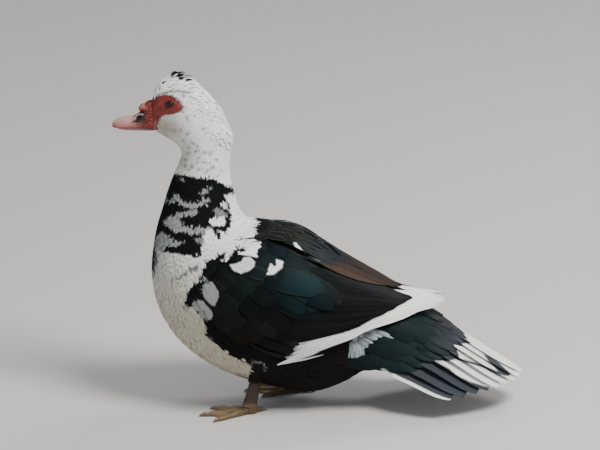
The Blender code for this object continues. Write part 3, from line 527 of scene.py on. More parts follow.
def vane_points(middle, side, up, half, arch, thick, across):
    """A vane's points in each row: across its arched upper face, and one beneath it if it is thick."""
    points = (
        middle[:, :, None]
        + side[:, :, None] * (half[:, :, None] * across)[..., None]
        + up[:, :, None] * (arch[:, :, None] * (1 - across**2))[..., None]
    )
    if not thick:
        return points
    lower = middle + up * (arch - thick)[..., None]
    return np.concatenate([points, lower[:, :, None]], axis=2)


def vanes(name, middle, side, up, half, arch, thick, top, tint, finish, bake, cell):
    """Many feathers as one mesh of thin closed blades.

    middle, side and up are (feathers, rows, 3) arrays along each midline, half and arch are
    (feathers, rows), top is the number of points across the upper face, and tint is (feathers, rows, 3)
    or (feathers, rows, points round, 3). bake is each feather's corner on the bake map and cell its size.
    """
    count, rows = half.shape
    spread = vane_spread(top)[: top + (thick > 0)]
    points = vane_points(middle, side, up, half, arch, thick, spread[:top])
    ring = len(spread)
    loops, starts = tube_faces(rows, ring)
    numbers = np.arange(count)[:, None]
    loops, starts = (loops + numbers * rows * ring).ravel(), (starts + numbers * len(loops)).ravel()
    data = mesh_from(name, points.reshape(-1, 3), loops, starts)
    if tint.ndim == 3:
        tint = np.repeat(tint[:, :, None], ring, axis=2)
    tinted(data, np.clip(tint.reshape(-1, 3), 0, 1))
    point_attribute(data, "barb", "FLOAT_VECTOR", vane_barbs(middle, half, spread).reshape(-1, 3))
    places = vane_bake(bake, cell, spread, rows).reshape(-1, 2)
    layer = data.uv_layers.new(name="OFBake")
    layer.data.foreach_set("uv", places[loops].astype(np.float32).ravel())
    data.shade_smooth()
    data.set_sharp_from_angle(angle=SHARP_ANGLE)
    return new_object(name, data, finish)


def mirrored(sign, middle, side, up):
    """The left side's feathers for a sign of 1, or their images on the right for -1."""
    flip = np.array([1, sign, 1])
    return middle * flip, side * flip * sign, up * flip


def smooth_piece(data, finish, slot, node):
    """A smooth closed piece that stands for a node."""
    data.shade_smooth()
    place(new_object(data.name, data, finish), slot, node)


def blade_frames(middle, up):
    """Unit side and upper vectors along midlines of shape (feathers, rows, 3)."""
    ahead = unit(np.gradient(middle, axis=1))
    side = unit(np.cross(ahead, up))
    return side, unit(np.cross(side, ahead))


def outline(f, root, taper, point):
    """A feather's width along its length: a narrow root, full from the middle, and a round tip."""
    rooted = mix(root, 1.0, smooth_step(0.0, 0.45, f))
    return rooted * np.sqrt(np.clip(1 - np.maximum(0.0, (f - taper) / (1 - taper)) ** point, 0.0, 1))


def feather_rows(kind, end=1):
    """The rows of a kind of feather as shares of its length, and its width at each."""
    rows, *shape = FEATHERS[kind]
    f = np.linspace(0, end, rows)
    return f, outline(f, *shape)


def draws(kind, number=0):
    """A kind of piece's own random draws, the same each time."""
    return np.random.default_rng(SEEDS[kind] + number)


# ------------------------------------------------------------------ materials


class Nodes:
    """A short way to write a material's node tree."""

    def __init__(self, name, roughness, **sockets):
        self.material = bpy.data.materials.new(name)
        self.material.use_nodes = True
        self.tree = self.material.node_tree
        self.shader = self.tree.nodes["Principled BSDF"]
        self.shader.inputs["Roughness"].default_value = roughness
        for key, value in sockets.items():
            self.shader.inputs[key.replace("_", " ")].default_value = value

    def add(self, kind, inputs=(), **settings):
        node = self.tree.nodes.new("ShaderNode" + kind)
        for key, value in settings.items():
            setattr(node, key, value)
        for key, value in dict(inputs).items():
            if isinstance(value, bpy.types.NodeSocket):
                self.tree.links.new(value, node.inputs[key])
            else:
                node.inputs[key].default_value = value
        return node

    def attribute(self, name):
        return self.add("Attribute", attribute_name=name)

    def math(self, operation, a, b=0.0):
        return self.add("Math", {0: a, 1: b}, operation=operation).outputs[0]

    def noise(self, vector, scale, detail=3.0):
        inputs = {"Scale": scale, "Detail": detail}
        if vector is not None:
            inputs["Vector"] = vector
        return self.add("TexNoise", inputs).outputs[0]

    def span(self, value, low, high, to_low=0.0, to_high=1.0):
        inputs = {"Value": value, "From Min": low, "From Max": high, "To Min": to_low, "To Max": to_high}
        return self.add("MapRange", inputs).outputs[0]

    def shaded(self, colour, share):
        """The colour times a grey share."""
        return self.add("VectorMath", {0: colour, "Scale": share}, operation="SCALE").outputs[0]

    def colour(self, socket):
        self.tree.links.new(socket, self.shader.inputs["Base Color"])

    def bump(self, height, strength, distance):
        made = self.add("Bump", {"Height": height, "Strength": strength, "Distance": distance})
        self.tree.links.new(made.outputs[0], self.shader.inputs["Normal"])


def feather_material(name, roughness, streak, specular):
    """Barbs run out from the shaft towards the tip, as fine streaks in the colour and the relief."""
    made = Nodes(name, roughness, Sheen_Roughness=0.5, Specular_IOR_Level=specular)
    tint, barb = made.attribute("tint"), made.attribute("barb")
    across, along, number = made.add("SeparateXYZ", {0: barb.outputs["Vector"]}).outputs
    away = made.math("ABSOLUTE", across)
    slant = made.math("SUBTRACT", along, made.math("MULTIPLY", away, 1.1))
    spot = made.add("CombineXYZ", {0: slant, 1: made.math("MULTIPLY", away, 0.12), 2: number}).outputs[0]
    barbs, broad = made.noise(spot, 2.2, 2.0), made.noise(spot, 0.35, 2.0)
    fine = made.span(barbs, 0.3, 0.7, 1 - streak, 1 + streak)
    share = made.math("MULTIPLY", fine, made.span(broad, 0.3, 0.7, 0.93, 1.06))
    shaft = made.span(away, 0.1, 0.32, 0.9, 1.0)
    made.colour(made.shaded(tint.outputs["Color"], made.math("MULTIPLY", share, shaft)))
    made.bump(barbs, 0.35, 0.0004)
    return made.material


def mottled_material(name, roughness, scale, detail, low, high, relief=None, **sockets):
    """The tint with fine mottling from low to high times its value. relief is the bump's noise scale,
    strength and depth in metres."""
    made = Nodes(name, roughness, **sockets)
    tint = made.attribute("tint").outputs["Color"]
    made.colour(made.shaded(tint, made.span(made.noise(None, scale, detail), 0.3, 0.7, low, high)))
    if relief:
        made.bump(made.noise(None, relief[0], 3), *relief[1:])
    return made


def plain_material(name, roughness, **sockets):
    """The tint as it is."""
    made = Nodes(name, roughness, **sockets)
    made.colour(made.attribute("tint").outputs["Color"])
    return made


SOFT = feather_material("soft_feather", 0.8, 0.07, 0.08)
GLOSSY = feather_material("glossy_feather", 0.46, 0.14, 0.05)
TAIL_VANE = feather_material("tail_feather", 0.5, 0.12, 0.08)


# ------------------------------------------------------------------ skin under the coat

SKIN_VOXEL = 2.4 * MM
SKIN_STATIONS = 0.15, 25.0
WING_CORE_END = 4.6
WING_SKIN_DEPTHS = (1.6 * MM, 20 * MM)  # of the wing's flesh under its surface, outer and inner
CUFF_SKIN_DEPTH = 1.5 * MM
DARK_REAR = -0.1  # the skin is dark behind this x, in metres
SKIN_SHADE = 0.8  # the skin's light as a share of that of the coat over it


def coat_at(t):
    """Feather length, half width, spacing and coat depth in metres at each station."""
    return [np.interp(t, list(COAT), column) for column in np.array(list(COAT.values())).T * MM]


def loft_mesh(name, rings):
    """A closed mesh through (rows, ring, 3) points."""
    rows, ring = rings.shape[:2]
    loops, starts = tube_faces(rows, ring)
    data = mesh_from(name, rings.reshape(-1, 3), loops, starts)
    outward(data)
    return data


def outward(data):
    shell = bmesh.new()
    shell.from_mesh(data)
    bmesh.ops.recalc_face_normals(shell, faces=shell.faces)
    shell.to_mesh(data)
    shell.free()


def read(items, key, size, kind=np.float32):
    """A value of every vertex, corner or face."""
    values = np.empty(len(items) * size, kind)
    items.foreach_get(key, values)
    return values


def points_of(data):
    return read(data.vertices, "co", 3).reshape(-1, 3).astype(float)


def joined(name, meshes):
    """One mesh of several."""
    points, loops, starts, base, corner = [], [], [], 0, 0
    for data in meshes:
        points.append(points_of(data))
        loops.append(read(data.loops, "vertex_index", 1, np.int32) + base)
        starts.append(read(data.polygons, "loop_start", 1, np.int32) + corner)
        base += len(data.vertices)
        corner += len(data.loops)
        bpy.data.meshes.remove(data)
    return mesh_from(name, np.vstack(points), np.concatenate(loops), np.concatenate(starts))


def remeshed(name, meshes, voxel, finish, smooth):
    """One closed skin round several closed meshes."""
    obj = new_object(name, joined(name, meshes), finish)
    remesh = obj.modifiers.new("skin", "REMESH")
    remesh.mode = "VOXEL"
    remesh.voxel_size = voxel
    soften = obj.modifiers.new("soften", "SMOOTH")
    soften.iterations = smooth
    bpy.context.view_layer.update()
    graph = bpy.context.evaluated_depsgraph_get()
    made = bpy.data.meshes.new_from_object(obj.evaluated_get(graph))
    old = obj.data
    obj.modifiers.clear()
    obj.data = made
    bpy.data.meshes.remove(old)
    made.materials.clear()
    made.materials.append(finish)
    made.shade_smooth()
    return obj


def raised(data, places, normals, relief):
    """Moves the surface out by its relief, in millimetres, and gives its new places."""
    places = places + normals * relief[:, None] * MM
    places[:, 2] = np.maximum(places[:, 2], 0)
    data.vertices.foreach_set("co", places.astype(np.float32).ravel())
    return places


def normals_of(data):
    return read(data.vertex_normals, "vector", 3).reshape(-1, 3).astype(float)


LEGS = {
    "left": {"hock": (78, 47, 50), "ankle": (87, 50, 13), "toes_out": 14},
    "right": {"hock": (36, -46, 48), "ankle": (27, -44, 13), "toes_out": -3},
}
CUFF = {"left": (70, 47), "right": (64, 36)}
CUFF_RADII = (21, 9.5)


def leg_line(side, height):
    """The middle of the shank at heights over the floor, in metres."""
    hock, ankle = (np.array(LEGS[side][key], float) * MM for key in ("hock", "ankle"))
    share = (np.asarray(height, float) - ankle[2]) / (hock[2] - ankle[2])
    return ankle + (hock - ankle) * share[..., None]


def cuff_point(side, share, angle, out=0.0):
    """A point of the feathered cuff from its hidden top (0) to its end at the shank (1)."""
    high, low = (h * MM for h in CUFF[side])
    share, angle = np.broadcast_arrays(np.asarray(share, float), np.asarray(angle, float))
    radius = mix(*CUFF_RADII, share**0.7) * MM + out
    centre = leg_line(side, mix(high, low, share))
    return centre + stack(radius * np.cos(angle), radius * 0.9 * np.sin(angle), 0.0)


def skin():
    """One closed skin under the coat, inside it by the coat's depth."""
    rows, ring = MESH["skin_body"]
    stations = np.linspace(*SKIN_STATIONS, rows)[:, None]
    meshes = [loft_mesh("skin_body", body_point(stations, circle(ring), -coat_at(stations)[3]))]
    rows, across = MESH["skin_wing"]
    u = np.linspace(0.12, WING_CORE_END, rows)[:, None]
    v = np.linspace(0.04, 0.96, across)
    outer, inner = (wing_point(u, v, -depth) for depth in WING_SKIN_DEPTHS)
    wing = np.concatenate([outer, inner[:, ::-1]], axis=1)
    rows, ring = MESH["skin_cuff"]
    for s, sign in SIDES.items():
        meshes.append(loft_mesh(f"skin_wing_{s}", wing * np.array([1, sign, 1])))
        cuff = cuff_point(s, steps(rows), circle(ring), -CUFF_SKIN_DEPTH)
        meshes.append(loft_mesh(f"skin_cuff_{s}", cuff))
    finish = plain_material("skin_under_coat", 0.8)
    finish.bump(finish.noise(None, 300, 3), 0.3, 0.0006)
    obj = remeshed("skin", meshes, SKIN_VOXEL, finish.material, 6)
    places = points_of(obj.data)
    colour = plumage(places[:, None], draws("skin"), 0.3)[:, 0]
    colour[places[:, 0] < DARK_REAR] = TONES["green_black"]
    tinted(obj.data, colour * SKIN_SHADE)
    place(obj, "pied_feathers", "head", "neck", "torso", "thigh_left", "thigh_right")


# ------------------------------------------------------------------ coat of the head, neck and body

# Where the skin of the face is bare: station, and its upper and lower edge in degrees from the top.
FACE_SKIN = np.array((
    (0.06, 6, 125),
    (0.35, 16, 124),
    (0.65, 31, 116),
    (0.95, 38, 98),
    (1.25, 41, 90),
    (1.9, 46, 88),
    (2.4, 54, 86),
    (2.9, 63, 80),
    (3.2, 69, 74),
))
FACE_END = FACE_SKIN[-1, 0]

COAT_PIECES = {  # first and last station, and the record's slot
    "coat_head": (0.25, 3.4, "white_feathers"),
    "coat_nape": (3.4, 7.2, "white_feathers"),
    "coat_neck": (7.2, 11.0, "pied_feathers"),
    "coat_breast": (11.0, 16.0, "pied_feathers"),
    "coat_belly": (16.0, 21.0, "pied_feathers"),
    "coat_rear": (21.0, 25.2, "dark_feathers"),
}
FEATHERS_APART = 1.25  # between roots in a row, in half widths
SCALE_STEP = 0.05  # of a station or a radian, where the body's scale is measured
# The steps along a body feather, and its width at each as a share of its full width.
FEATHER_STEPS = np.array((0.0, 0.34, 0.62, 0.82, 0.94, 1.0))
FEATHER_WIDTHS = np.array((0.5, 0.88, 1.0, 0.86, 0.56, 0.16))
LAST_STATION = 26.4  # feathers end here at the latest
LENGTH_SPREAD, WIDTH_SPREAD = (0.85, 1.15), (0.85, 1.15)  # from feather to feather
TIP_HEIGHT, TIP_SPREAD = 0.25 * MM, (0.4, 1.6)  # of the tips over the coat
ROOT_DEPTH_SHARE = 1.15  # roots lie a little under the coat's depth
TONE_STEP, TONE_SHARE = 3, 0.55  # a feather takes its tone from this step on, by this share
HEAD_STATION = 0.016  # metres between stations on the head
# The nape's ruff and the fuller neck above it: height in the side view, reach, and lift in millimetres.
RUFF, FULL_NECK, RUFF_END = (131, 9, 3.4), (107, 13, 2.6), 141
SMALL_PATCH, LOOSE_PATCH = 0.003, 0.006  # a small and a loose feather's patch on the bake map
# Body feathers are left out under the wing between these x, in metres, and this far inside its edges.
WING_COVER, WING_MARGIN = (0.128, -0.09), 0.28


def face_edges(t):
    """The upper and lower edge of the bare skin at each station, in radians from the top."""
    return [np.radians(np.interp(t, FACE_SKIN[:, 0], edge)) for edge in FACE_SKIN.T[1:]]


def on_bare_skin(t, angle, margin=0.0):
    """Whether a place on the head lies on the bare skin or within a margin of it."""
    upper, lower = face_edges(t)
    turn = np.abs(np.mod(angle + math.pi, 2 * math.pi) - math.pi)
    return (t < FACE_END) & (turn > upper - margin) & (turn < lower + margin)


def under_wing(t, angle):
    """Whether a place on the body lies well under the folded wing."""
    x, y, z = np.moveaxis(body_base(t, angle), -1, 0)
    rows = WING_ROWS[np.argsort(WING_ROWS[:, 0])].T
    middle, high, wide, top, low = (np.interp(x, rows[0], values) for values in rows[1:])
    turn = np.arctan2(np.abs(y) / wide, (z - middle) / high)
    covered = (turn > top + WING_MARGIN) & (turn < low - WING_MARGIN)
    return (x < WING_COVER[0]) & (x > WING_COVER[1]) & covered


def coat_roots(first, last, draw):
    """Stations and angles of feather roots in staggered rows between two stations."""
    stations, angles = [], []
    t, row = first, 0
    all_round = np.linspace(0, 2 * math.pi, 97)
    while t < last:
        _, half, spacing, _ = coat_at(t)
        girth = np.linalg.norm(np.diff(body_base(t, all_round), axis=0), axis=1)
        reached = np.concatenate([[0], np.cumsum(girth)])
        count = max(8, int(reached[-1] / (half * FEATHERS_APART)))
        marks = (np.arange(count) + 0.5 * (row % 2) + draw.uniform(-0.25, 0.25, count)) / count
        around = np.interp(np.mod(marks, 1) * reached[-1], reached, all_round)
        # the mean distance between stations differs round the body
        near, _ = body_scale(t, around)
        stations.append(t + draw.uniform(-0.3, 0.3, count) * spacing / near)
        angles.append(around)
        t += spacing / np.median(near)
        row += 1
    return np.concatenate(stations), np.concatenate(angles)


def body_scale(t, angle):
    """Metres a station and metres a radian at places on the body."""
    along = body_base(t + SCALE_STEP, angle) - body_base(t - SCALE_STEP, angle)
    around = body_base(t, angle + SCALE_STEP) - body_base(t, angle - SCALE_STEP)
    return [np.linalg.norm(way, axis=1) / (2 * SCALE_STEP) for way in (along, around)]


def contour_paths(t, angle, lift, draw):
    """Midlines, sides and upper normals of body feathers that lie back along the body, and their widths."""
    length, half, _, depth = coat_at(t)
    length = length * draw.uniform(*LENGTH_SPREAD, t.shape)
    half = half * draw.uniform(*WIDTH_SPREAD, t.shape)
    near, wide = body_scale(t, angle)
    reach = length / np.maximum(near, 0.003)
    swing = draw.normal(0, 0.1, t.shape) * length / np.maximum(wide, 0.004)
    f = FEATHER_STEPS
    stations = np.minimum(t[:, None] + reach[:, None] * f, LAST_STATION)
    turns = angle[:, None] + swing[:, None] * f**1.5
    tip = (TIP_HEIGHT + lift) * draw.uniform(*TIP_SPREAD, t.shape)
    root = depth * ROOT_DEPTH_SHARE
    height = -root[:, None] + (root + tip)[:, None] * f**0.75
    middle = body_point(stations, turns, height)
    side, up = blade_frames(middle, body_normal(stations, turns))
    lean = draw.normal(0, 0.09, t.shape)[:, None, None]
    return middle, unit(side + up * lean), unit(up - side * lean), half[:, None] * FEATHER_WIDTHS


def contour_feathers(name, t, angle, draw, slot, lift):
    """Body feathers with their roots at (t, angle)."""
    middle, side, up, width = contour_paths(t, angle, lift, draw)
    # a feather is mostly of one tone: that of its visible end
    tint = plumage(mix(middle, middle[:, TONE_STEP, None], TONE_SHARE), draw)
    value = draw.normal(1, 0.025, t.shape)[:, None, None]
    # each feather is painted darker towards its root: painted shade where it lies under its neighbours
    along = mix(0.84, 1.0, zone("coat_root_shade", FEATHER_STEPS))[None, :, None]
    low, high = t.min(), t.max() + 1e-6
    bake = stack(np.mod(angle / (2 * math.pi), 1), (t - low) / (high - low)) * 0.99 + SMALL_PATCH
    shades = tint * value * along
    place(vanes(name, middle, side, up, width, width * 0.2, 0.0, 3, shades, SOFT, bake, SMALL_PATCH), slot)


def coat_lift(t, angle):
    """How far the coat stands off: it is fuller on the nape, with a low ruff at its foot."""
    _, down = side_view(body_base(t, angle))
    ruff, neck = (lift * hump((down - at) / reach) for at, reach, lift in (RUFF, FULL_NECK))
    return (ruff * (down < RUFF_END) + neck) * smooth_step(0.2, 0.9, np.cos(angle)) * MM


def coat():
    """The body's feathers in pieces from the head back, apart from those under the folded wings."""
    for number, (name, (first, last, slot)) in enumerate(COAT_PIECES.items()):
        draw = draws("coat", number)
        t, angle = coat_roots(first, last, draw)
        # a feather near the front of the bare skin would lie over it
        ahead = t + 0.5 * coat_at(t)[0] / HEAD_STATION
        bare = on_bare_skin(t, angle) | on_bare_skin(ahead, angle, -0.05)
        keep = ~bare & ~under_wing(t, angle)
        t, angle = t[keep], angle[keep]
        contour_feathers(name, t, angle, draw, slot, coat_lift(t, angle))


# ------------------------------------------------------------------ wings

# White and grey marks on the wing's feathers, in the side view.
WING_MARKS = (
    *(mark for mark in MARKS if mark[0].startswith(("oval", "finger"))),
    ("shoulder_oval", "pale", "area", ((230, 264.6), (236, 263.6), (241.5, 261.5), (243.8, 257.5),
        (250, 256.8), (255.3, 261.7), (254.4, 266.8), (250, 270.3), (241.5, 273.4), (233.7, 270.3))),
    ("shoulder_line", "white", "line", ((239, 253.5), (249, 254.5), (257, 256.3)), 0.9),
    ("covert_spot", "white", "area", ((266.5, 274.6), (270.8, 263.4), (275, 266.5), (277, 264.5), (276, 259),
        (283.7, 261.7), (282, 267.7), (274.2, 274))),
    ("scapular_streak", "white", "area", ((293, 242.7), (296, 242.5), (304.5, 252.5), (302.5, 253.7),
        (296, 248))),
    ("scapular_line", "grey", "line", ((305, 253.5), (313, 257.5), (320, 261.5)), 0.15),
)
# Where the primaries are white, along the wing's lower edge.
PRIMARY_BAND = ((291.5, 342.2), (296, 343.2), (309, 340.8), (324.5, 337.2), (345, 332.3), (360, 326.5),
    (372, 319), (380, 300), (380, 270), (470, 270), (470, 320), (430, 312), (400, 323), (375, 330),
    (360, 335.5), (345, 341.3), (332, 345.8), (320.6, 350.3), (316, 352), (322.5, 352.6), (322.5, 354.2),
    (308.4, 357), (297.7, 360.6), (285, 363), (277, 363.7), (277, 362), (285, 359), (290.5, 355),
    (294, 350.5), (294.8, 346.5), (293.5, 344.3))
SIDE_AREA = next(mark for mark in MARKS if mark[0] == "side")[3:]

# Each tier of the folded wing: how many feathers, the lines in the side view that the first, perhaps one
# between and the last of them follow from root to tip, then for the first and the last the half width and
# the height over the wing in millimetres, and the share of its length over which a feather rises.
WING_TIERS = {
    "primary": (9, (
        ((318, 300), (345, 297), (372, 293.5), (397, 291), (420, 290), (442, 293.5)),
        ((300, 336), (330, 326), (360, 317), (390, 307), (420, 300), (447.3, 298)),
        ((278.5, 363.2), (290, 360), (304, 354), (322, 348), (350, 334), (384, 321), (414, 308),
            (441, 303)),
    ), (7.5, 6.8), (1.8, 0.8), 0.12),
    "secondary": (9, (
        ((300, 266), (330, 275), (360, 283), (385, 289.5), (412.5, 297.5)),
        ((268, 298), (310, 306), (350, 305), (378, 303.5), (401, 302.5)),
        ((234, 328), (262, 333.5), (292, 334.8), (308, 333), (326, 328.7), (345, 322.5), (367, 316.3),
            (382, 311.5)),
    ), (10.5, 10.0), (3.6, 2.8), 0.2),
    "primary_covert": (2, (
        ((246, 334), (262, 341), (280, 347), (295, 350.5)),
        ((246, 342), (258, 348), (270, 352.5), (285, 355.5)),
    ), (7.5, 4.0), (3.8, 3.4), 0.3),
    "greater": (8, (
        ((274, 266), (300, 277), (322, 289), (340, 303)),
        ((250, 292), (275, 307), (300, 322)),
        ((220, 322), (234, 332), (250, 341)),
    ), (12, 11), (4.6, 3.6), 0.4),
    "median": (7, (
        ((262, 252), (285, 258), (312, 272)),
        ((236, 281), (256, 292), (278, 308)),
        ((208, 306), (219, 318), (234, 332)),
    ), (11, 11), (4.8, 3.4), 0.5),
    "second_lesser": (9, (
        ((252, 246), (270, 247), (290, 256)),
        ((222, 270), (238, 280), (254, 292)),
        ((202, 298), (209, 309), (221, 322)),
    ), (9.5, 10), (4.4, 3.0), 0.55),
    "lesser": (11, (
        ((238, 247), (252, 245), (268, 249)),
        ((212, 264), (224, 270), (238, 280)),
        ((198, 290), (203, 299), (211, 311)),
    ), (8.5, 9), (3.6, 2.2), 0.6),
    "tertial": (3, (
        ((305, 249), (330, 257), (352, 263.5), (378, 274), (402, 285.5)),
        ((300, 252), (325, 264), (350, 275), (372, 281.5), (390, 285)),
    ), (10.5, 8.0), (5.4, 4.6), 0.25),
    "scapular": (5, (
        ((284, 227.5), (302, 232), (318, 239.5), (336, 250.5), (359, 265.5)),
        ((278, 239), (292, 243), (306, 250), (319, 257.5), (333, 266)),
    ), (7.0, 6.0), (3.0, 4.8), 0.2),
    "mid_scapular": (4, (
        ((264, 226.5), (280, 227), (298, 230.5), (314, 237), (330, 247)),
        ((258, 239), (272, 238.5), (285, 241.5), (298, 247), (310, 254)),
    ), (6.5, 5.5), (4.4, 6.2), 0.25),
    "fore_scapular": (4, (
        ((248, 229), (262, 226.5), (282, 227), (304, 232.5)),
        ((244, 241), (256, 238.5), (270, 239.5), (286, 243)),
    ), (6.5, 5.5), (5.6, 7.2), 0.35),
    "top_scapular": (4, (
        ((240, 231), (254, 228), (266, 227), (280, 227.5)),
        ((238, 247), (246, 242), (255, 240), (266, 241)),
    ), (6.5, 6.0), (6.4, 7.6), 0.5),
    "teal_covert": (1, (
        ((258, 275), (280, 279), (300, 283.5), (323.5, 287.5)),
    ), (17, 17), (6.2, 6.2), 0.4),
    "low_teal_covert": (1, (
        ((262, 291), (280, 298), (294, 305), (306, 312)),
    ), (9.5, 9.5), (5.6, 5.6), 0.4),
    "hind_teal_covert": (1, (
        ((296, 292), (312, 299), (335, 307)),
    ), (10, 10), (5.2, 5.2), 0.4),
    "small_covert": (1, (
        ((244, 269), (256, 272.5), (266, 276.5)),
    ), (8, 8), (5.2, 5.2), 0.4),
}
# The uppermost feathers along the back, by (u, v) on the wing and not by the side view.
BACK_FEATHERS = ((1.0, -0.11), (2.9, -0.085), (4.3, -0.06)), ((1.0, -0.05), (3.0, -0.02), (4.6, 0.0))
BACK_TIER = 3, (9.0, 9.0), (2.6, 3.2), 0.3  # how many, half widths, heights and rise, as above
ROOT_DEPTH = 2.2  # of a feather's root under the wing's surface, millimetres
VANE_ROWS, GUIDE_STEPS = 40, 14
PRIMARY_ROOT, OTHER_ROOT = 0.7, 0.4  # width at the root as a share of the full width
VANE_TIP = 0.7, 2.1  # where the tip's taper starts, and how blunt it is
VANE_CURVE = 0.085  # radius of a wing feather's crown in metres
WING_VANE, TAIL_COVERT, RECTRIX = 0.5 * MM, 0.4 * MM, 0.35 * MM  # thickness of the blades
MARK_EDGE = 0.5  # how soft a mark's edge is on the long feathers, in steps of the side view
SHAFT = 0.08  # half width of the line of the shaft, as a share of the vane's
# The dark plumage turns brown down the wing and shines green and teal in places: middle, half width and
# half height, and share.
BROWN_FROM_TO, BROWN_SHARE = (300, 335), 0.8
GREEN_PLACES = (((255, 285), (32, 24), 0.6),)
TEAL_PLACES = (
    ((301, 286), (25, 17), 1.0), ((306, 306), (22, 12), 0.35),
    ((320, 292), (16, 18), 0.3), ((280, 257), (28, 18), 0.45),
)
SHADES = {  # light at a long feather's rim, as a share, and at its root
    "primary": (0.74, 0.95),
    "tertial": (0.75, 0.9),
    "scapular": (0.8, 0.6),
    "teal": (0.3, 0.7),
    "wing": (0.5, 0.6),
    "tail": (0.65, 0.7),
}
TEAL_COVERTS = {"teal_covert": 1.0, "low_teal_covert": 0.5, "hind_teal_covert": 0.4}
WING_CELLS, TAIL_CELLS, CELL_MARGIN = 12, 6, 0.004  # cells along a side of the bake map, and their margin


def wing_grid():
    """A grid of (u, v) over the left wing, with its places in the side view."""
    u, v = np.meshgrid(np.linspace(0, 8, 401), np.linspace(-0.1, 1.06, 233), indexing="ij")
    across, down = side_view(wing_point(u, v, 3 * MM))
    return u.ravel(), v.ravel(), across.ravel(), down.ravel()


def line_on_wing(line, grid):
    """A line in the side view as (u, v) at even steps on the wing's surface."""
    line = np.array(line, float)
    fine = through(line, np.linspace(0, len(line) - 1, 200))
    reached = np.concatenate([[0], np.cumsum(np.linalg.norm(np.diff(fine, axis=0), axis=1))])
    at = np.linspace(0, reached[-1], GUIDE_STEPS)
    u, v, across, down = grid
    places = [(np.interp(a, reached, fine[:, 0]), np.interp(a, reached, fine[:, 1])) for a in at]
    nearest = [np.argmin((across - x) ** 2 + (down - y) ** 2) for x, y in places]
    return np.stack([u[nearest], v[nearest]], axis=1)


def tier_lines(guides, count, f, draw):
    """(u, v) along each feather of a tier, between the tier's guide lines: (feathers, rows) each."""
    guides = np.array(guides if len(guides) > 1 else guides * 2)
    shape = count, GUIDE_STEPS, 2
    share = np.linspace(0, len(guides) - 1, count) if count > 1 else np.zeros(1)
    paths = through(guides.reshape(len(guides), -1), share).reshape(shape)
    # the grid's steps are evened out
    for _ in range(3):
        paths[:, 1:-1] = (paths[:, :-2] + 2 * paths[:, 1:-1] + paths[:, 2:]) / 4
    rows = along_lines(paths, f)
    rows = rows + draw.normal(0, 0.006, (1, count, 2)) * np.array([2.0, 1.0]) * f[:, None, None]
    return rows[..., 0].T, rows[..., 1].T


def along_lines(lines, f):
    """(rows, lines, 2) places at the shares f of the length of (lines, points, 2) lines."""
    count, points, _ = lines.shape
    rows = through(lines.transpose(1, 0, 2).reshape(points, -1), f * (points - 1))
    return rows.reshape(len(f), count, 2)


def wing_vane_paths(u, v, width, height, rise, sign, f, root):
    """Midlines and frames of feathers on a wing: (feathers, rows, 3) each, and their half widths."""
    lifted = mix(-ROOT_DEPTH, height[:, None], smooth_step(0.0, 1.0, f / rise))
    half = width[:, None] * MM * outline(f, root, *VANE_TIP)
    arch = half**2 / (2 * VANE_CURVE)
    middle = wing_point(u, v, lifted * MM - arch)
    return (*mirrored(sign, middle, *blade_frames(middle, wing_normal(u, v))), half, arch)


def dark_sheen(across, down):
    """The dark plumage's tone: black, with teal, green and brown in their places."""
    tone = over(TONES["black"], TONES["brown_black"], smooth_step(*BROWN_FROM_TO, down) * BROWN_SHARE)
    tone = spotted(tone, "green_black", GREEN_PLACES, across, down)
    for (x, y), (wide, tall), strength in TEAL_PLACES:
        away = ((across - x) / wide) ** 2 + ((down - y) / tall) ** 2
        tone = over(tone, TONES["teal"], np.exp(-(away**1.5)) * strength)
    return tone


def vane_shade(f, kind):
    """Each point's light or dark, along its feather and towards its edges and its tip."""
    rim, base = SHADES[kind]
    edge = np.maximum(zone("vane_edge", np.abs(vane_spread())), zone("vane_tip", f)[:, None])
    along = mix(base, 1.05, zone("vane_light", f))[:, None]
    return along * mix(1.0, rim, edge)


def vane_shaft():
    """How near each point of a vane is to the shaft's line."""
    return hump(vane_spread() / SHAFT)


def vane_places(middle, side, half):
    """The places of a vane's points in the side view."""
    reach = half[:, :, None] * vane_spread()
    return side_view(middle[:, :, None] + side[:, :, None] * reach[..., None])


def primary_tint(across, down, f):
    """White in the band along the wing's lower edge, and black inside it."""
    white = TONES["white"] * vane_shade(f, "primary")[..., None] * (1 - 0.1 * vane_shaft()[..., None])
    return over(TONES["brown_black"], white, mark_share("area", (PRIMARY_BAND,), across, down, 0.4))


def tier_tone(tier, across, down, f):
    """The tone of a tier's feathers, and its light and dark."""
    if tier == "tertial":
        brown = zone("tertial_hind", across + 0.3 * (down - 262))
        brown = np.maximum(brown, zone("tertial_low", down) * zone("tertial_far", across))
        return over(TONES["slate"], TONES["brown"], brown), vane_shade(f, "tertial")
    if "scapular" in tier:
        hind = zone("scapular_slate", across)
        return over(TONES["black"], TONES["slate"], hind), vane_shade(f, "scapular")
    tone = dark_sheen(across, down)
    if tier in TEAL_COVERTS:
        share = TEAL_COVERTS[tier] * zone("teal", f)[:, None]
        return over(tone, TONES["teal"], share), vane_shade(f, "teal")
    return tone, vane_shade(f, "wing")


def rim_sheen(tier, count, f, across, draw):
    """How strongly a painted green sheen shows on the rims and tips of a tier's feathers, brighter on some.
    """
    edge = zone("rim_edge", np.abs(vane_spread()))
    edge = np.maximum(edge * zone("rim_start", f)[:, None], zone("rim_tip", f)[:, None])
    if "scapular" in tier:
        return edge * (draw.uniform(0.35, 0.9, (count, 1, 1)) * (1 - 0.7 * zone("scapular_rim", across)))
    some = draw.random((count, 1, 1)) < 0.3
    lit = np.where(some, draw.uniform(0.05, 0.2, (count, 1, 1)), 0.0)
    return edge * (lit * (tier not in ("secondary", "tertial")) + 0.4 * (tier == "small_covert"))


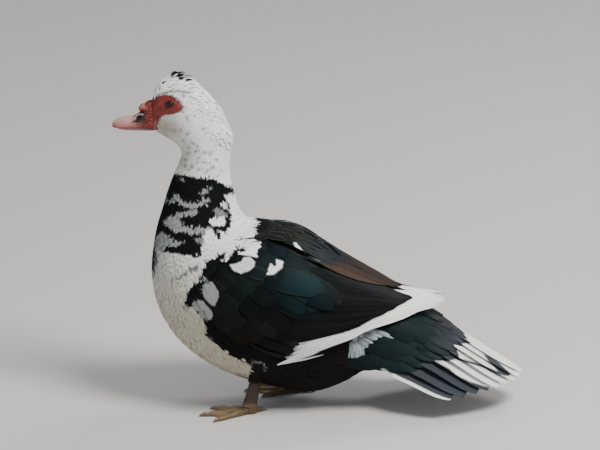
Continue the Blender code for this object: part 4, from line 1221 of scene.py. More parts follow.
def wing_tint(tier, geometry, f, draw):
    """The tone of every point of a tier's feathers."""
    middle, side, _, half, _ = geometry
    count = len(half)
    across, down = vane_places(middle, side, half)
    if tier == "primary":
        return primary_tint(across, down, f)
    tone, shade = tier_tone(tier, across, down, f)
    tone = tone * draw.uniform(0.75, 1.3, (count, 1, 1, 1)) * shade[..., None]
    # painted green sheen along the rims and tips
    tone = over(tone, TONES["rim_sheen_green"], rim_sheen(tier, count, f, across, draw))
    across = across + draw.normal(0, 0.25, (count, len(f), 1))
    tone = over(tone, TONES["white"], 1 - mark_share("area", SIDE_AREA, across, down, MARK_EDGE))
    return paint(tone, WING_MARKS, across, down, MARK_EDGE)


def spread_rows(count, ends):
    """Even values from the first feather to the last, or the first value where there is one feather."""
    return mix(*ends, np.linspace(0, 1, count) if count > 1 else np.zeros(1))


def wing_tiers():
    """Each tier's lines on the wing as (u, v), how many feathers it has, and its sizes."""
    grid = wing_grid()
    tiers = {
        tier: ([line_on_wing(line, grid) for line in lines], count, *sizes)
        for tier, (count, lines, *sizes) in WING_TIERS.items()
    }
    back = [through(np.array(line), np.linspace(0, len(line) - 1, GUIDE_STEPS)) for line in BACK_FEATHERS]
    tiers["back_scapular"] = (back, *BACK_TIER)
    return tiers


def wings():
    """The folded wings' feathers: the primaries in one piece a side and all others in another."""
    f = np.linspace(0, 1, VANE_ROWS) ** 0.9
    tiers = wing_tiers()
    for s, sign in SIDES.items():
        draw = draws("wings")
        dark, white = [], []
        for tier, (lines, count, widths, heights, rise) in tiers.items():
            found, root = (white, PRIMARY_ROOT) if tier == "primary" else (dark, OTHER_ROOT)
            u, v = tier_lines(lines, count, f, draw)
            width = spread_rows(count, widths) * draw.uniform(0.95, 1.05, count)
            height = spread_rows(count, heights) + draw.uniform(-0.1, 0.1, count)
            geometry = wing_vane_paths(u, v, width, height, rise, sign, f, root)
            found.append((*geometry, wing_tint(tier, geometry, f, draw)))
        slot = "wing_feathers"
        vane_piece(f"wing_dark_{s}", dark, WING_VANE, GLOSSY, WING_CELLS, slot, f"wing_{s}")
        vane_piece(f"wing_white_{s}", white, WING_VANE, SOFT, WING_CELLS, slot)


def vane_piece(name, found, thick, finish, cells, slot, *nodes):
    """One piece of many long feathers, each with its own cell on the bake map. found holds the midlines,
    sides, upper normals, half widths, arches and tints of each row of them."""
    *geometry, tint = (np.concatenate(part) for part in zip(*found))
    number = np.arange(len(tint))
    corners = np.stack([number % cells, number // cells], axis=1) / cells + CELL_MARGIN
    size = 1 / cells - 2 * CELL_MARGIN
    place(vanes(name, *geometry, thick, VANE_TOP, tint, finish, corners, size), slot, *nodes)


TUFT_FEATHERS, LOOSE_TIP = 60, 0.2 * MM
# The loose pale feathers on the flank, under the wing's edge: lines in the side view from the rearmost on.
TUFT_LINES = (
    ((362, 329), (380, 329), (397, 334)),
    ((361, 332), (379, 335), (395, 340)),
    ((359, 335), (375, 340), (389, 346)),
    ((356, 337), (368, 345), (379, 352)),
    ((354, 338), (363, 349), (371, 361)),
    ((352, 339), (358, 351), (362, 365)),
    ((350, 340), (350, 350), (348, 358)),
)
# The outermost primaries below the wing's edge: lines in the side view.
LOW_PRIMARIES = (
    ((302, 353.5), (290, 358.5), (277, 363)),
    ((306, 354), (292, 359), (281, 362)),
    ((293, 360.5), (308, 356.3), (323.5, 353)),
)
LOW_PRIMARY_WIDTHS = 3.4, 2.6, 1.5


def line_on_body(lines, height, f):
    """Midlines, sides and upper normals of feathers that follow side-view lines over the flank."""
    t, angle = np.meshgrid(np.linspace(14, 24.5, 401), np.linspace(0.9, 2.9, 241), indexing="ij")
    across, down = side_view(body_point(t, angle))
    nearest = [np.argmin((across - x) ** 2 + (down - y) ** 2) for x, y in lines.reshape(-1, 2)]
    places = np.stack([t.ravel()[nearest], angle.ravel()[nearest]], axis=1).reshape(lines.shape)
    rows = along_lines(places, f)
    stations, turns = rows[..., 0].T, rows[..., 1].T
    middle = body_point(stations, turns, height * MM)
    return (middle, *blade_frames(middle, body_normal(stations, turns)))


def on_both_sides(name, geometry, half, tint, bake):
    """Loose pale feathers as one piece on the left and its image on the right."""
    for s, sign in SIDES.items():
        blades = mirrored(sign, *geometry)
        obj = vanes(f"{name}_{s}", *blades, half, half * 0.3, 0.0, 5, tint, SOFT, bake, LOOSE_PATCH)
        place(obj, "pied_feathers")


def flank_tuft():
    """The loose pale feathers between the wing, the tail and the thigh."""
    draw = draws("tuft")
    count = TUFT_FEATHERS
    f, width = feather_rows("flank_tuft")
    guides = np.array(TUFT_LINES, float)
    share = np.sort(draw.uniform(0, len(guides) - 1, count))
    lines = through(guides.reshape(len(guides), -1), share).reshape(count, 3, 2)
    lines[:, 1:] = lines[:, :1] + (lines[:, 1:] - lines[:, :1]) * draw.uniform(0.55, 1.0, (count, 1, 1))
    lines += draw.normal(0, 0.5, (count, 1, 2))
    across = np.stack([np.interp(f, (0, 0.5, 1), line[:, 0]) for line in lines])
    high = draw.uniform(1.5, 4.5, count)[:, None] + 7 * zone("tuft_over_tail", across)
    half = draw.uniform(1.5, 3.1, count)[:, None] * MM * width
    half[:, -1] = LOOSE_TIP
    # each feather is painted darker towards its root: painted shade under the wing's edge
    pale = mix(0.5, 1.1, zone("tuft_root_shade", f))[:, None] * draw.uniform(0.65, 1.15, (count, 1, 1))
    bake = np.stack([share / len(guides), np.full(count, 0.5)], axis=1)
    geometry = line_on_body(lines, mix(-1.0, high, smooth_step(0, 0.6, f)), f)
    # white feathers in painted blue shade
    on_both_sides("flank_tuft", geometry, half, TONES["blue_grey"] * pale, bake)


def low_primaries():
    """The white ends of primaries that lie on the flank under the wing's edge."""
    f, width = feather_rows("low_primary")
    lines = np.array(LOW_PRIMARIES, float)
    order = np.arange(len(lines))
    height = mix(1.0, 3.6, smooth_step(0, 0.5, f)) + order[:, None] * 0.5
    half = np.array(LOW_PRIMARY_WIDTHS)[:, None] * MM * width
    half[:, -1] = LOOSE_TIP
    tint = TONES["white"] * np.ones((len(lines), len(f), 1)) * 0.95
    bake = np.stack([order / 4 + 0.1, np.full(len(lines), 0.5)], axis=1)
    on_both_sides("low_primaries", line_on_body(lines, height, f), half, tint, bake)


# ------------------------------------------------------------------ tail

TAIL_FEATHERS_A_SIDE = 9
TAIL_MIDDLE_TIP, TAIL_OUTER_TIP = (-266, 3, 40), (-177, 83, 34)
TAIL_ROOTS, TAIL_HALF_WIDTH, TAIL_STEP = (24.1, 23.0), 15.0, 0.8
TAIL_ROOT_ANGLES = (9, 113)
TAIL_BOW = (-0.02, 0.02)  # rise at the middle of a feather as a share of its length, inner and outer
TAIL_END = 0.97  # a tail feather's outline is cut a little before its point
TAIL_TILT = 0.066  # each tail feather leans over the next one outwards
TAIL_LEAN = (4, 42)  # of the fan's surface, in degrees, in its middle and at its edge
TAIL_ROOT_DEPTH, COVERT_ROOT_DEPTH = 1.8 * MM, 1.5 * MM
COVERT_BOW = (0.6, 4.5)  # rise of a covert's middle in millimetres, in the fan's middle and at its edge
TAIL_MARKS = (
    ("white_vanes", "white", "area", ((452, 322), (535, 322), (535, 392), (505, 390), (490.6, 388),
        (470, 381.5), (456, 374.5), (450, 369), (436, 361), (446, 361.5), (458, 359),
        (459.5, 356), (454, 344.5), (472, 343.5), (459, 334))),
    ("wedge", "tail_slate", "area", ((482.5, 354), (488, 356.5), (499.5, 363.5), (511.5, 374), (505, 376.5),
        (498, 371.5), (491, 363.5))),
    ("stripe", "tail_slate", "line", ((457, 358.8), (472, 363), (486.7, 368), (498, 373), (509, 375.3)), 1.3),
)


def tail_rays(share, side, f):
    """Midlines and upper normals of tail feathers. share is 0 in the middle of the fan, 1 at its edge."""
    (x0, y0, z0), (x1, y1, z1) = np.array((TAIL_MIDDLE_TIP, TAIL_OUTER_TIP)) * MM
    angle = np.radians(mix(*TAIL_ROOT_ANGLES, share))
    root_at = mix(*TAIL_ROOTS, share**3)
    root = body_point(root_at, angle, -TAIL_ROOT_DEPTH)
    tip = stack(mix(x0, x1, share**1.6), mix(y0, y1, share**0.9), mix(z0, z1, share))
    lean = np.radians(mix(*TAIL_LEAN, share))
    tip_up = unit(stack(-0.42, np.sin(lean), np.cos(lean)))
    turn = smooth_step(0.0, 0.5, f)[:, None]
    up = unit(mix(body_normal(root_at, angle)[:, None], tip_up[:, None], turn))
    bow = (np.linalg.norm(tip - root, axis=1) * mix(*TAIL_BOW, share))[:, None]
    height = (0.9 + side * 0.6 * (1 - share) - TAIL_STEP * (TAIL_FEATHERS_A_SIDE - 1) * share)[:, None] * MM
    risen = height * smooth_step(0, 0.35, f) + TAIL_ROOT_DEPTH * smooth_step(0, 0.15, f)
    line = root[:, None] + (tip - root)[:, None] * f[:, None]
    return line + up * (risen + bow * np.sin(math.pi * f))[..., None], up


def rectrix_tint(middle, side, half):
    """Dark feathers, white in the middle of the fan with a dark wedge, and a white rim at its edge."""
    across, down = vane_places(middle, side, half)
    spread = vane_spread()
    outermost = np.arange(len(half))[:, None, None] == len(half) - 1
    rim = zone("fan_rim", spread) * outermost * np.ones(across.shape)
    # the dark feathers' slate holds a painted blue-grey sheen
    tint = paint(over(TONES["tail_slate"], TONES["white"], rim), TAIL_MARKS, across, down, MARK_EDGE)
    # the dark feathers are painted darker along their edges: painted shade where each lies under the next
    edge = smooth_step(0.86, 1.0, np.abs(spread))[:, None]
    light = smooth_step(0.2, 0.6, tint[..., 1:2])
    tint = tint * mix(1.0, mix(0.85, 1.0, light), edge)
    return tint * (1 - mix(0.2, 0.02, light) * vane_shaft()[..., None])


def tail():
    """The fan of long tail feathers, in one piece a side, and the coverts over it."""
    f, width = feather_rows("tail_feather", TAIL_END)
    share = np.linspace(0, 1, TAIL_FEATHERS_A_SIDE)
    half = TAIL_HALF_WIDTH * MM * np.repeat(width[None], len(share), axis=0)
    for s, sign in SIDES.items():
        middle, up = tail_rays(share, sign, f / TAIL_END)
        side, up = blade_frames(middle, up)
        side = unit(side + up * TAIL_TILT)
        up = unit(np.cross(side, np.cross(up, side)))
        tint = rectrix_tint(middle, side, half)
        found = [(*mirrored(sign, middle, side, up), half, half * 0.03, tint)]
        nodes = ["tail"] if s == "left" else []
        vane_piece(f"tail_feathers_{s}", found, RECTRIX, TAIL_VANE, TAIL_CELLS, "tail_feathers", *nodes)
        tail_coverts(s, sign)


# Rows of coverts over the tail: how many, station of their roots, how far along the tail feathers they
# reach, half width in millimetres and height over the tail feathers.
TAIL_COVERTS = (
    (8, 22.2, 0.14, 12, 1.9),
    (9, 22.9, 0.25, 12, 1.4),
    (9, 23.4, 0.33, 12, 1.0),
    (10, 23.8, 0.42, 12, 0.7),
)
TAIL_RIM = ((382, 369), (386, 371), (395, 378), (405, 384)), 1.2
SLATE_FROM_TO, TAIL_BROWN_PLACES = (425, 455), (((444, 321), (13, 9), 0.45),)


def covert_row(sign, draw, count, station, reach, wide, high):
    """Midlines, sides, upper normals and half widths of one row of tail coverts."""
    f, width = feather_rows("tail_covert", TAIL_END)
    share = (np.arange(count) + 0.3) / count * 0.98 + draw.uniform(-0.02, 0.02, count)
    share = np.clip(share, 0.01, 1)
    rays, ups = tail_rays(share, sign, np.linspace(0, reach, 3))
    start = body_point(station - share, np.radians(mix(*TAIL_ROOT_ANGLES, share)), -COVERT_ROOT_DEPTH)
    end = rays[:, 2] + ups[:, 2] * high * MM + draw.normal(0, 1.0, (count, 3)) * MM
    up = unit(mix(ups[:, :1], ups[:, 2:], f[:, None]))
    bow = mix(*COVERT_BOW, share)[:, None] * MM * np.sin(math.pi * f**0.8)
    middle = mix(start[:, None], end[:, None], f[:, None]) + up * bow[..., None]
    half = wide * MM * width * draw.uniform(0.9, 1.1, count)[:, None]
    return (middle, *blade_frames(middle, up), half)


def covert_tint(middle, side, half, draw):
    """Green-black that turns to slate behind, with a brown spot and a pale rim at the fan's edge."""
    across, down = vane_places(middle, side, half)
    # the slate behind holds a painted blue-grey sheen
    slate = TONES["tail_slate"] * 0.8
    tone = over(TONES["tail_green"], slate, smooth_step(*SLATE_FROM_TO, across))
    tone = spotted(tone, "brown", TAIL_BROWN_PLACES, across, down)
    tone = tone * draw.uniform(0.8, 1.2, (len(half), 1, 1, 1))
    tone = over(tone, TONES["pale"], mark_share("line", TAIL_RIM, across, down, MARK_EDGE))
    return tone * vane_shade(np.linspace(0, TAIL_END, half.shape[1]), "tail")[..., None]


def tail_coverts(s, sign):
    """The rows of coverts over one side of the tail, the hindmost first."""
    draw = draws("tail")
    found = []
    for row in TAIL_COVERTS[::-1]:
        middle, side, up, half = covert_row(sign, draw, *row)
        tint = covert_tint(middle, side, half, draw)
        found.append((*mirrored(sign, middle, side, up), half, half * 0.2, tint))
    vane_piece(f"tail_coverts_{s}", found, TAIL_COVERT, GLOSSY, TAIL_CELLS, "tail_feathers")


# ------------------------------------------------------------------ crest

# Rows over the crown: station, feathers, height and reach in millimetres, degrees between feathers.
CREST = (
    (0.24, 11, 2.6, 6, 5.2),
    (0.45, 13, 4.6, 8, 4.8),
    (0.7, 16, 6.4, 9, 4.2),
    (0.95, 18, 7.6, 11, 4.0),
    (1.2, 20, 8.4, 13, 3.8),
    (1.5, 20, 8.8, 15, 3.8),
    (1.8, 20, 8.2, 17, 3.9),
    (2.1, 20, 7.0, 19, 4.0),
    (2.45, 19, 5.6, 20, 4.2),
    (2.8, 18, 5.2, 20, 4.6),
    (3.2, 17, 4.6, 20, 5.0),
    (3.6, 16, 4.0, 19, 5.4),
    (4.1, 15, 3.4, 17, 5.8),
    (4.6, 14, 2.6, 15, 6.2),
)
DARK_TIP_ROWS, DARK_ROWS, TALL_ROWS = (7, 8), (4,), (7, 8)  # dark feathers are only in these
CREST_HALF_WIDTH, CREST_TIP, CREST_BLADE = 2.6 * MM, 0.5 * MM, 0.25 * MM
CREST_DEPTH = 1.5  # of the roots under the head's surface, millimetres
TALL_WITHIN, DARK_WITHIN = 0.17, 0.42  # radians from the crown's middle
TALL_SHARE, DARK_TIP_SHARE, DARK_SHARE = 0.75, 0.6, 0.14  # of the feathers there


def crest_roots(draw):
    """Each crest feather's station, angle, height and reach in millimetres, and the row it stands in."""
    rows = []
    for row, (at, count, height, reach, spread) in enumerate(CREST):
        turn = np.radians((np.arange(count) - (count - 1) / 2) * spread + draw.normal(0, 1.0, count))
        station = at + draw.uniform(-0.12, 0.12, count)
        high = height * draw.uniform(0.85, 1.08, count) * np.cos(turn) ** 1.5
        far = reach * draw.uniform(0.85, 1.12, count)
        rows.append((station, turn, high, far, np.full(count, row)))
    return (np.concatenate(part) for part in zip(*rows))


def crest_frames(station, angle, high, far, f, draw):
    """Midlines and frames of feathers that rise from the crown and bend back."""
    root = body_point(station, angle, -CREST_DEPTH * MM)
    back = unit(body_base(station + 0.2, angle) - body_base(station, angle))
    lean = unit(body_normal(station, angle) + np.array([0, 0, 0.3]))
    root, back, lean, across = (way[:, None] for way in (root, back, lean, np.cross(lean, back)))
    rise = (high + CREST_DEPTH)[:, None] * MM * (f * (2.0 - f) - 0.25 * f**4)
    reach = far[:, None] * MM * f**1.5
    sway = draw.normal(0, 1.0, len(high)) * MM
    middle = root + lean * rise[..., None] + back * reach[..., None]
    middle = middle + across * sway[:, None, None] * (f**2)[:, None]
    up = lean * (0.25 + 0.75 * f)[:, None] - back * (1 - 0.75 * f)[:, None]
    return (middle, *blade_frames(middle, unit(up)))


def crest_tint(angle, row, tall, f, draw):
    """White, with a few dark feathers and a few dark tips near the middle."""
    count, level = len(row), np.abs(angle) < DARK_WITHIN
    dark_tip = np.isin(row, DARK_TIP_ROWS) & level & (draw.random(count) < DARK_TIP_SHARE)
    dark = np.isin(row, DARK_ROWS) & level & (draw.random(count) < DARK_SHARE) | tall
    share = zone("crest_dark_tip", f) * dark_tip[:, None]
    share = np.maximum(share, zone("crest_dark", f) * dark[:, None])
    # each feather is painted darker towards its root: painted shade among the crest's feathers
    base = mix(0.85, 1.0, zone("crest_root_shade", f))[:, None] * draw.uniform(0.95, 1.03, (count, 1, 1))
    return over(TONES["white"] * base, TONES["black"], share)


def crest():
    """The crown's raised feathers, from the forehead back to the nape."""
    draw = draws("crest")
    f, width = feather_rows("crest")
    station, angle, high, far, row = crest_roots(draw)
    count = len(row)
    # a few dark feathers stand up from the rest
    tall = np.isin(row, TALL_ROWS) & (np.abs(angle) < TALL_WITHIN) & (draw.random(count) < TALL_SHARE)
    high = high + draw.uniform(3.0, 7.5, count) * tall
    far = far * (1 - draw.uniform(0.1, 0.5, count) * tall)
    frames = crest_frames(station, angle, high, far, f, draw)
    half = CREST_HALF_WIDTH * width * draw.uniform(0.85, 1.15, count)[:, None]
    half[:, -1] = CREST_TIP
    half = half * (1 - 0.3 * tall)[:, None]
    arch = half * (0.3 + 0.5 * tall)[:, None]
    tint = crest_tint(angle, row, tall, f, draw)
    bake = np.stack([0.5 + angle / 3, (station - 0.4) / 4], axis=1) * 0.98
    obj = vanes("crest", *frames, half, arch, CREST_BLADE, 5, tint, SOFT, bake, LOOSE_PATCH)
    place(obj, "white_feathers")


# ------------------------------------------------------------------ face

MOUTH_HEIGHT, BILL_BASE_X = 375.2, 213.2
UPPER_BILL = {  # x, height of the ridge, half width
    "base": (BILL_BASE_X, 408.5, 13.4),
    "knob": (220, 404.6, 12.6),
    "nostril": (228, 396, 11.4),
    "saddle": (236, 389.8, 10.6),
    "middle": (244, 388.8, 10.8),
    "spoon": (253.5, 386.8, 11.6),
    "nail": (261, 383.6, 9.8),
    "tip": (266, 379.2, 4.2),
}
LOWER_BILL = {  # x, height of the underside, half width
    "root": (203, 372, 12.0),
    "base": (BILL_BASE_X, 370, 12.2),
    "middle": (235, 369.6, 9.6),
    "spoon": (252, 371, 10.2),
    "tip": (262, 373.2, 5),
}
UPPER_ROWS, LOWER_ROWS = (np.array(list(rows.values()), float) for rows in (UPPER_BILL, LOWER_BILL))
BAND_STATIONS = (0.62, 0.42, 0.25)
COLLAR = ((213.9, 2.3), (216.8, 2.1), (219.8, 1.5), (222.6, 0.2))  # x and height over the bill's base
FACE_HEIGHT, FACE_ROOT = 1.7, -1.0  # of the bare skin's outer and inner side over the head, millimetres
FACE_VOXEL = 0.42 * MM
EYE_PLACE = 2.08, math.radians(67)  # station, and angle from the top
EYE_RADIUS, EYE_DEPTH = 6.3, 2.6
LID_LONG, LID_HIGH, LID_THICK, LID_LIFT = 4.9, 4.2, 1.1, 0.5
LID_PINCH = 0.1  # how far the corners of the lids are drawn out
KNOBS = (  # centre, radii, and the slope forward in degrees
    ((224.6, 0, 400.6), (7.4, 6.6, 4.9), 28),
    ((217.6, 0, 404.6), (6.5, 8.6, 4.8), 30),
    ((221.5, 5.6, 399.6), (5.2, 3.8, 4.2), 30),
    ((221.5, -5.6, 399.6), (5.2, 3.8, 4.2), 30),
    ((228.2, 2.6, 399.4), (3.6, 3.2, 3.0), 40),
    ((228.0, -2.8, 399.2), (3.4, 3.2, 3.0), 40),
)


def grain(points, scale, seed, waves=14):
    """Smooth uneven values from -1 to 1, a mix of waves about scale metres long."""
    draw = np.random.default_rng(seed)
    ways = unit(draw.normal(size=(waves, 3))) * draw.uniform(0.6, 1.6, (waves, 1)) * 2 * math.pi / scale
    turns = points @ ways.T + draw.uniform(0, 2 * math.pi, waves)
    return np.sin(turns).sum(axis=-1) / math.sqrt(waves) * 0.9


def blob(centre, radii, turn=None, detail=2):
    """A round lump as a mesh. radii are in millimetres."""
    shell = bmesh.new()
    bmesh.ops.create_icosphere(shell, subdivisions=detail, radius=1)
    matrix = Matrix.Translation(Vector(centre))
    if turn is not None:
        matrix = matrix @ turn.to_matrix().to_4x4()
    matrix = matrix @ Matrix.Diagonal((*(r * MM for r in radii), 1))
    bmesh.ops.transform(shell, matrix=matrix, verts=shell.verts)
    return mesh_of("blob", shell)


def mesh_of(name, shell):
    data = bpy.data.meshes.new(name)
    shell.to_mesh(data)
    shell.free()
    return data


def grid_slab(name, outer, inner):
    """A closed plate between two (rows, columns, 3) grids."""
    return loft_mesh(name, np.concatenate([outer, inner[:, ::-1]], axis=1))


def collar_place(x, angle, out):
    """Points on the bill's base: the angle runs over the ridge from 0 on the left to pi."""
    rows = through(UPPER_ROWS, np.interp(x, UPPER_ROWS[:, 0], np.arange(len(UPPER_ROWS))))
    top, width = rows[..., 1] + out, rows[..., 2] + out
    arch = mix(MOUTH_HEIGHT, top, np.maximum(np.sin(angle), 0) ** 0.9)
    return stack(x, width * np.cos(angle), arch) * MM


def finer(rows, count):
    """The grid's rows, at even steps along smooth lines through them."""
    places = through(np.array(rows).reshape(len(rows), -1), np.linspace(0, len(rows) - 1, count))
    return places.reshape(count, -1, 3)


def face_front():
    """The bare skin over the forehead's edge, both cheeks and the bill's base."""
    rows, across = MESH["face_front"]
    share = np.linspace(0, 1, across)
    outer, inner = [], []
    for station in BAND_STATIONS:
        _, low = face_edges(station)
        turn = mix(low, -low, share)
        outer.append(body_point(station, turn, FACE_HEIGHT * MM))
        inner.append(body_point(station, turn, FACE_ROOT * MM))
    turn = mix(math.radians(4), math.radians(176), share)
    # the front edge is uneven, and reaches farthest along the ridge and the mouth
    uneven = 1.3 * np.sin(turn * 7 + 0.6) + 0.8 * np.sin(turn * 17)
    reach = 5.0 * hump((turn - math.pi / 2) / 0.5) + 3.0 * np.abs(np.cos(turn)) ** 6 + uneven
    for k, (x, height) in enumerate(COLLAR):
        x = x + reach * k / 3
        outer.append(collar_place(x, turn, height))
        inner.append(collar_place(x, turn, -0.6))
    return grid_slab("front", finer(outer, rows), finer(inner, rows))


def face_arm(sign):
    """The bare skin round one eye."""
    rows, across = MESH["face_arm"]
    t, share = np.linspace(0.3, FACE_END, rows)[:, None], np.linspace(0, 1, across)
    turn = sign * mix(*face_edges(t), share)
    swell = FACE_HEIGHT * MM * (0.72 + 0.28 * np.sin(math.pi * share))
    return grid_slab("arm", body_point(t, turn, swell), body_point(t, turn, FACE_ROOT * MM))


def eye_frame(sign):
    """The eye's centre, the way it looks, and the directions along and across the head there."""
    t, angle = EYE_PLACE[0], sign * EYE_PLACE[1]
    centre = body_point(t, angle, -EYE_DEPTH * MM)
    out = body_normal(t, angle)
    back = unit(body_base(t + 0.3, angle) - body_base(t - 0.3, angle))
    back = unit(back - out * back.dot(out))
    return centre, out, back, np.cross(out, back)


def eye_distance(places, sign, stretch):
    """How far each place is from the eye's middle in millimetres, and whether it is on the eye's side."""
    centre, out, back, up = eye_frame(sign)
    away = places - centre
    return np.hypot((away @ back) / stretch, away @ up) / MM, away @ out > 0


def lid_mesh(sign):
    """An almond-shaped ring of skin round the eye, resting on the eyeball."""
    centre, out, back, up = eye_frame(sign)
    rows, ring = MESH["lid"]
    a, b = circle(rows).T, circle(ring)
    long = np.cos(a) * LID_LONG * (1 + LID_PINCH * np.abs(np.cos(a)) ** 6)
    radial = (back * long[..., None] + up * (np.sin(a) * LID_HIGH)[..., None]) * MM
    reach = np.linalg.norm(radial, axis=-1, keepdims=True)
    inner = np.minimum(reach, 0.98 * EYE_RADIUS * MM)
    height = np.sqrt(np.maximum(((EYE_RADIUS + LID_LIFT) * MM) ** 2 - inner**2, 0))
    core = centre + radial + out * height
    around = radial / reach * np.cos(b)[..., None] + out * np.sin(b)[..., None]
    return torus_mesh(core + around * LID_THICK * MM)


def torus_mesh(rings):
    """A closed ring of rings."""
    rows, ring = rings.shape[:2]
    r, k = np.meshgrid(np.arange(rows), np.arange(ring), indexing="ij")
    a, b = r * ring + k, r * ring + (k + 1) % ring
    c, d = ((r + 1) % rows) * ring + (k + 1) % ring, ((r + 1) % rows) * ring + k
    quads = np.stack([a, b, c, d], axis=-1).reshape(-1, 4)
    data = mesh_from("ring", rings.reshape(-1, 3), quads.ravel(), np.arange(len(quads)) * 4)
    outward(data)
    return data


# Rows of bulbs on the bare skin: share across it, first and last station, how many, and size.
RIM_BULBS = (0.07, 0.3, 2.5, 15, 1.3), (0.93, 0.35, 2.5, 11, 1.1), (0.5, 0.25, 0.75, 4, 1.5)
COLLAR_BULBS = (215.5, 2.0), (218.8, 1.7), (221.8, 1.1)  # x and size, over the bill's base
COLLAR_ANGLES = (*range(10, 66, 11), *range(120, 165, 11))  # none of them on the ridge
GAPE_FOLD = (208.6, 210.6), (14.9, 13.6), (389, 377)  # x, y and z at the upper and the lower end
GAPE_BULBS = (206.5, 208.5, 210.5, 212.5)  # x, under the corner of the mouth
FOLD_RADII, GAPE_RADII = (1.1, 1.2, 1.5), (1.8, 1.7, 2.2)
EYE_FOLDS = (6.2, 7.0), (10.5, 13), 1.7  # distance from the eye where they start and end, and their step


def rim_bulb(sign, t, edge, big, draw):
    """A bulb on the bare skin, small near the eye and larger at the bill's base."""
    t = t + draw.uniform(-0.05, 0.05)
    share = edge + draw.uniform(-0.05, 0.05)
    turn = sign * mix(*face_edges(t), share)
    size = big * mix(1.35, 0.62, min(t / 2.4, 1)) * draw.uniform(0.75, 1.25)
    centre = body_point(t, turn, (FACE_HEIGHT - 0.15) * MM)
    way = Vector(body_normal(t, turn)).to_track_quat("Z", "X")
    return blob(centre, (size * draw.uniform(0.9, 1.5), size, size * 0.62), way)


def collar_bulb(x, angle, big, draw):
    centre = collar_place(x + draw.uniform(-1.0, 1.0), angle + draw.uniform(-0.08, 0.08), 1.3)
    size = big * draw.uniform(0.75, 1.3)
    return blob(centre, (size * 1.3, size, size * 0.9))


def knob(centre, radii, slope):
    turn = Matrix.Rotation(math.radians(slope), 4, "Y").to_quaternion()
    return blob(np.array(centre) * MM, radii, turn, 3)


def mouth_folds(sign):
    """A fold down the corner of the mouth and a row of bulbs under it."""
    side = np.array((1, sign, 1))
    down = [mix(*np.array(GAPE_FOLD).T, k / 8) * side for k in range(9)]
    under = [np.array((x, 12.6, 376.2)) * side for x in GAPE_BULBS]
    folds = [blob(centre * MM, FOLD_RADII) for centre in down]
    return folds + [blob(centre * MM, GAPE_RADII) for centre in under]


def caruncles(draw):
    """The bulbs and folds of the bare skin."""
    found = []
    for sign in SIDES.values():
        for edge, first, last, count, big in RIM_BULBS:
            rows = [mix(first, last, k / (count - 1)) for k in range(count)]
            found += [rim_bulb(sign, t, edge, big, draw) for t in rows]
    for angle in np.radians(COLLAR_ANGLES):
        found += [collar_bulb(x, angle, big, draw) for x, big in COLLAR_BULBS]
    found += [knob(*row) for row in KNOBS]
    return found + [mesh for sign in SIDES.values() for mesh in mouth_folds(sign)]


# The darkest red is painted shade, and the palest red is partly a painted highlight.
RED_SHADE, RED_DEEP, RED_LIGHT, RED_PALE = np.array((
    (0.045, 0.005, 0.005), (0.13, 0.013, 0.0105), (0.255, 0.039, 0.029), (0.56, 0.25, 0.22),
))


def red_tint(places, relief):
    """Red, darker where the skin lies low, and deep red in the creases and round the eye, all painted
    shade, with a painted highlight on the knob's top and paler along the lower rims.
    """
    uneven = grain(places, 0.009, 8)
    # the skin is painted darker where it lies low and lighter where it stands up: painted shade
    tone = over(RED_DEEP, RED_LIGHT, np.clip(0.5 + relief * 1.1 + 0.25 * uneven, 0, 1))
    tone = over(tone, RED_SHADE, zone("crease_shade", -relief) * 0.75)
    for sign in SIDES.values():
        radius, beside = eye_distance(places, sign, 1.15)
        # painted shade round each eye
        tone = over(tone, RED_SHADE, beside * (1 - zone("lids", radius)) * 0.9)
    x, _, z = places.T / MM
    # a painted highlight on the top of the knob
    knob_highlight = zone("knob", x) * zone("knob_highlight_top", z)
    tone = over(tone, RED_PALE, knob_highlight * np.clip(0.6 + 0.5 * uneven, 0, 1) * 0.75)
    away = np.hypot(x - mix(210.6, 208.6, (z - 377) / 12), (z - 382) / 6)
    tone = over(tone, RED_PALE, (1 - zone("gape", away)) * (z < 390) * 0.45)
    front = zone("skin_end", x) * (1 - zone("skin_side", z))
    return over(tone, BILL_RED * 0.8, front * 0.7)


def face_relief(places):
    """Folds in rings round the eyes and a fine grain, in millimetres."""
    relief = np.zeros(len(places))
    start, end, step = EYE_FOLDS
    for sign in SIDES.values():
        radius, beside = eye_distance(places, sign, 1.12)
        near = beside * smooth_step(*start, radius) * (1 - smooth_step(*end, radius))
        relief += near * 0.2 * np.sin(radius * 2 * math.pi / step + 1.2 * grain(places, 0.012, 5))
    relief += 0.14 * grain(places, 0.0026, 6) + 0.1 * grain(places, 0.0013, 7)
    return relief


def face():
    meshes = [face_front(), *caruncles(draws("face"))]
    for sign in SIDES.values():
        meshes += [face_arm(sign), lid_mesh(sign)]
    finish = mottled_material(
        "red_skin", 0.46, 700, 3, 0.86, 1.12, (1500, 0.35, 0.0003), Specular_IOR_Level=0.35,
        Subsurface_Weight=0.04
    ).material
    obj = remeshed("face_skin_fine", meshes, FACE_VOXEL, finish, 3)
    places, normals = points_of(obj.data), normals_of(obj.data)
    relief = face_relief(places)
    places = raised(obj.data, places, normals, relief)
    tinted(obj.data, red_tint(places, relief))
    place(obj, "red_skin", "face_skin")


PUPIL, IRIS_DARK, IRIS_LIGHT, EYE_RIM = np.array((
    (0.004, 0.003, 0.003), (0.03, 0.012, 0.006), (0.075, 0.033, 0.013), (0.01, 0.006, 0.005),
))


def eye_tint(polar, around):
    """A black pupil, a brown iris with fine spokes and a dark rim."""
    polar, around = (a.ravel() for a in np.broadcast_arrays(polar, around))
    iris = over(IRIS_DARK, IRIS_LIGHT, (0.5 + 0.5 * np.sin(around * 23)) * 0.6)
    tone = over(PUPIL, iris, zone("pupil", polar))
    return over(tone, EYE_RIM, zone("eye_rim", polar))


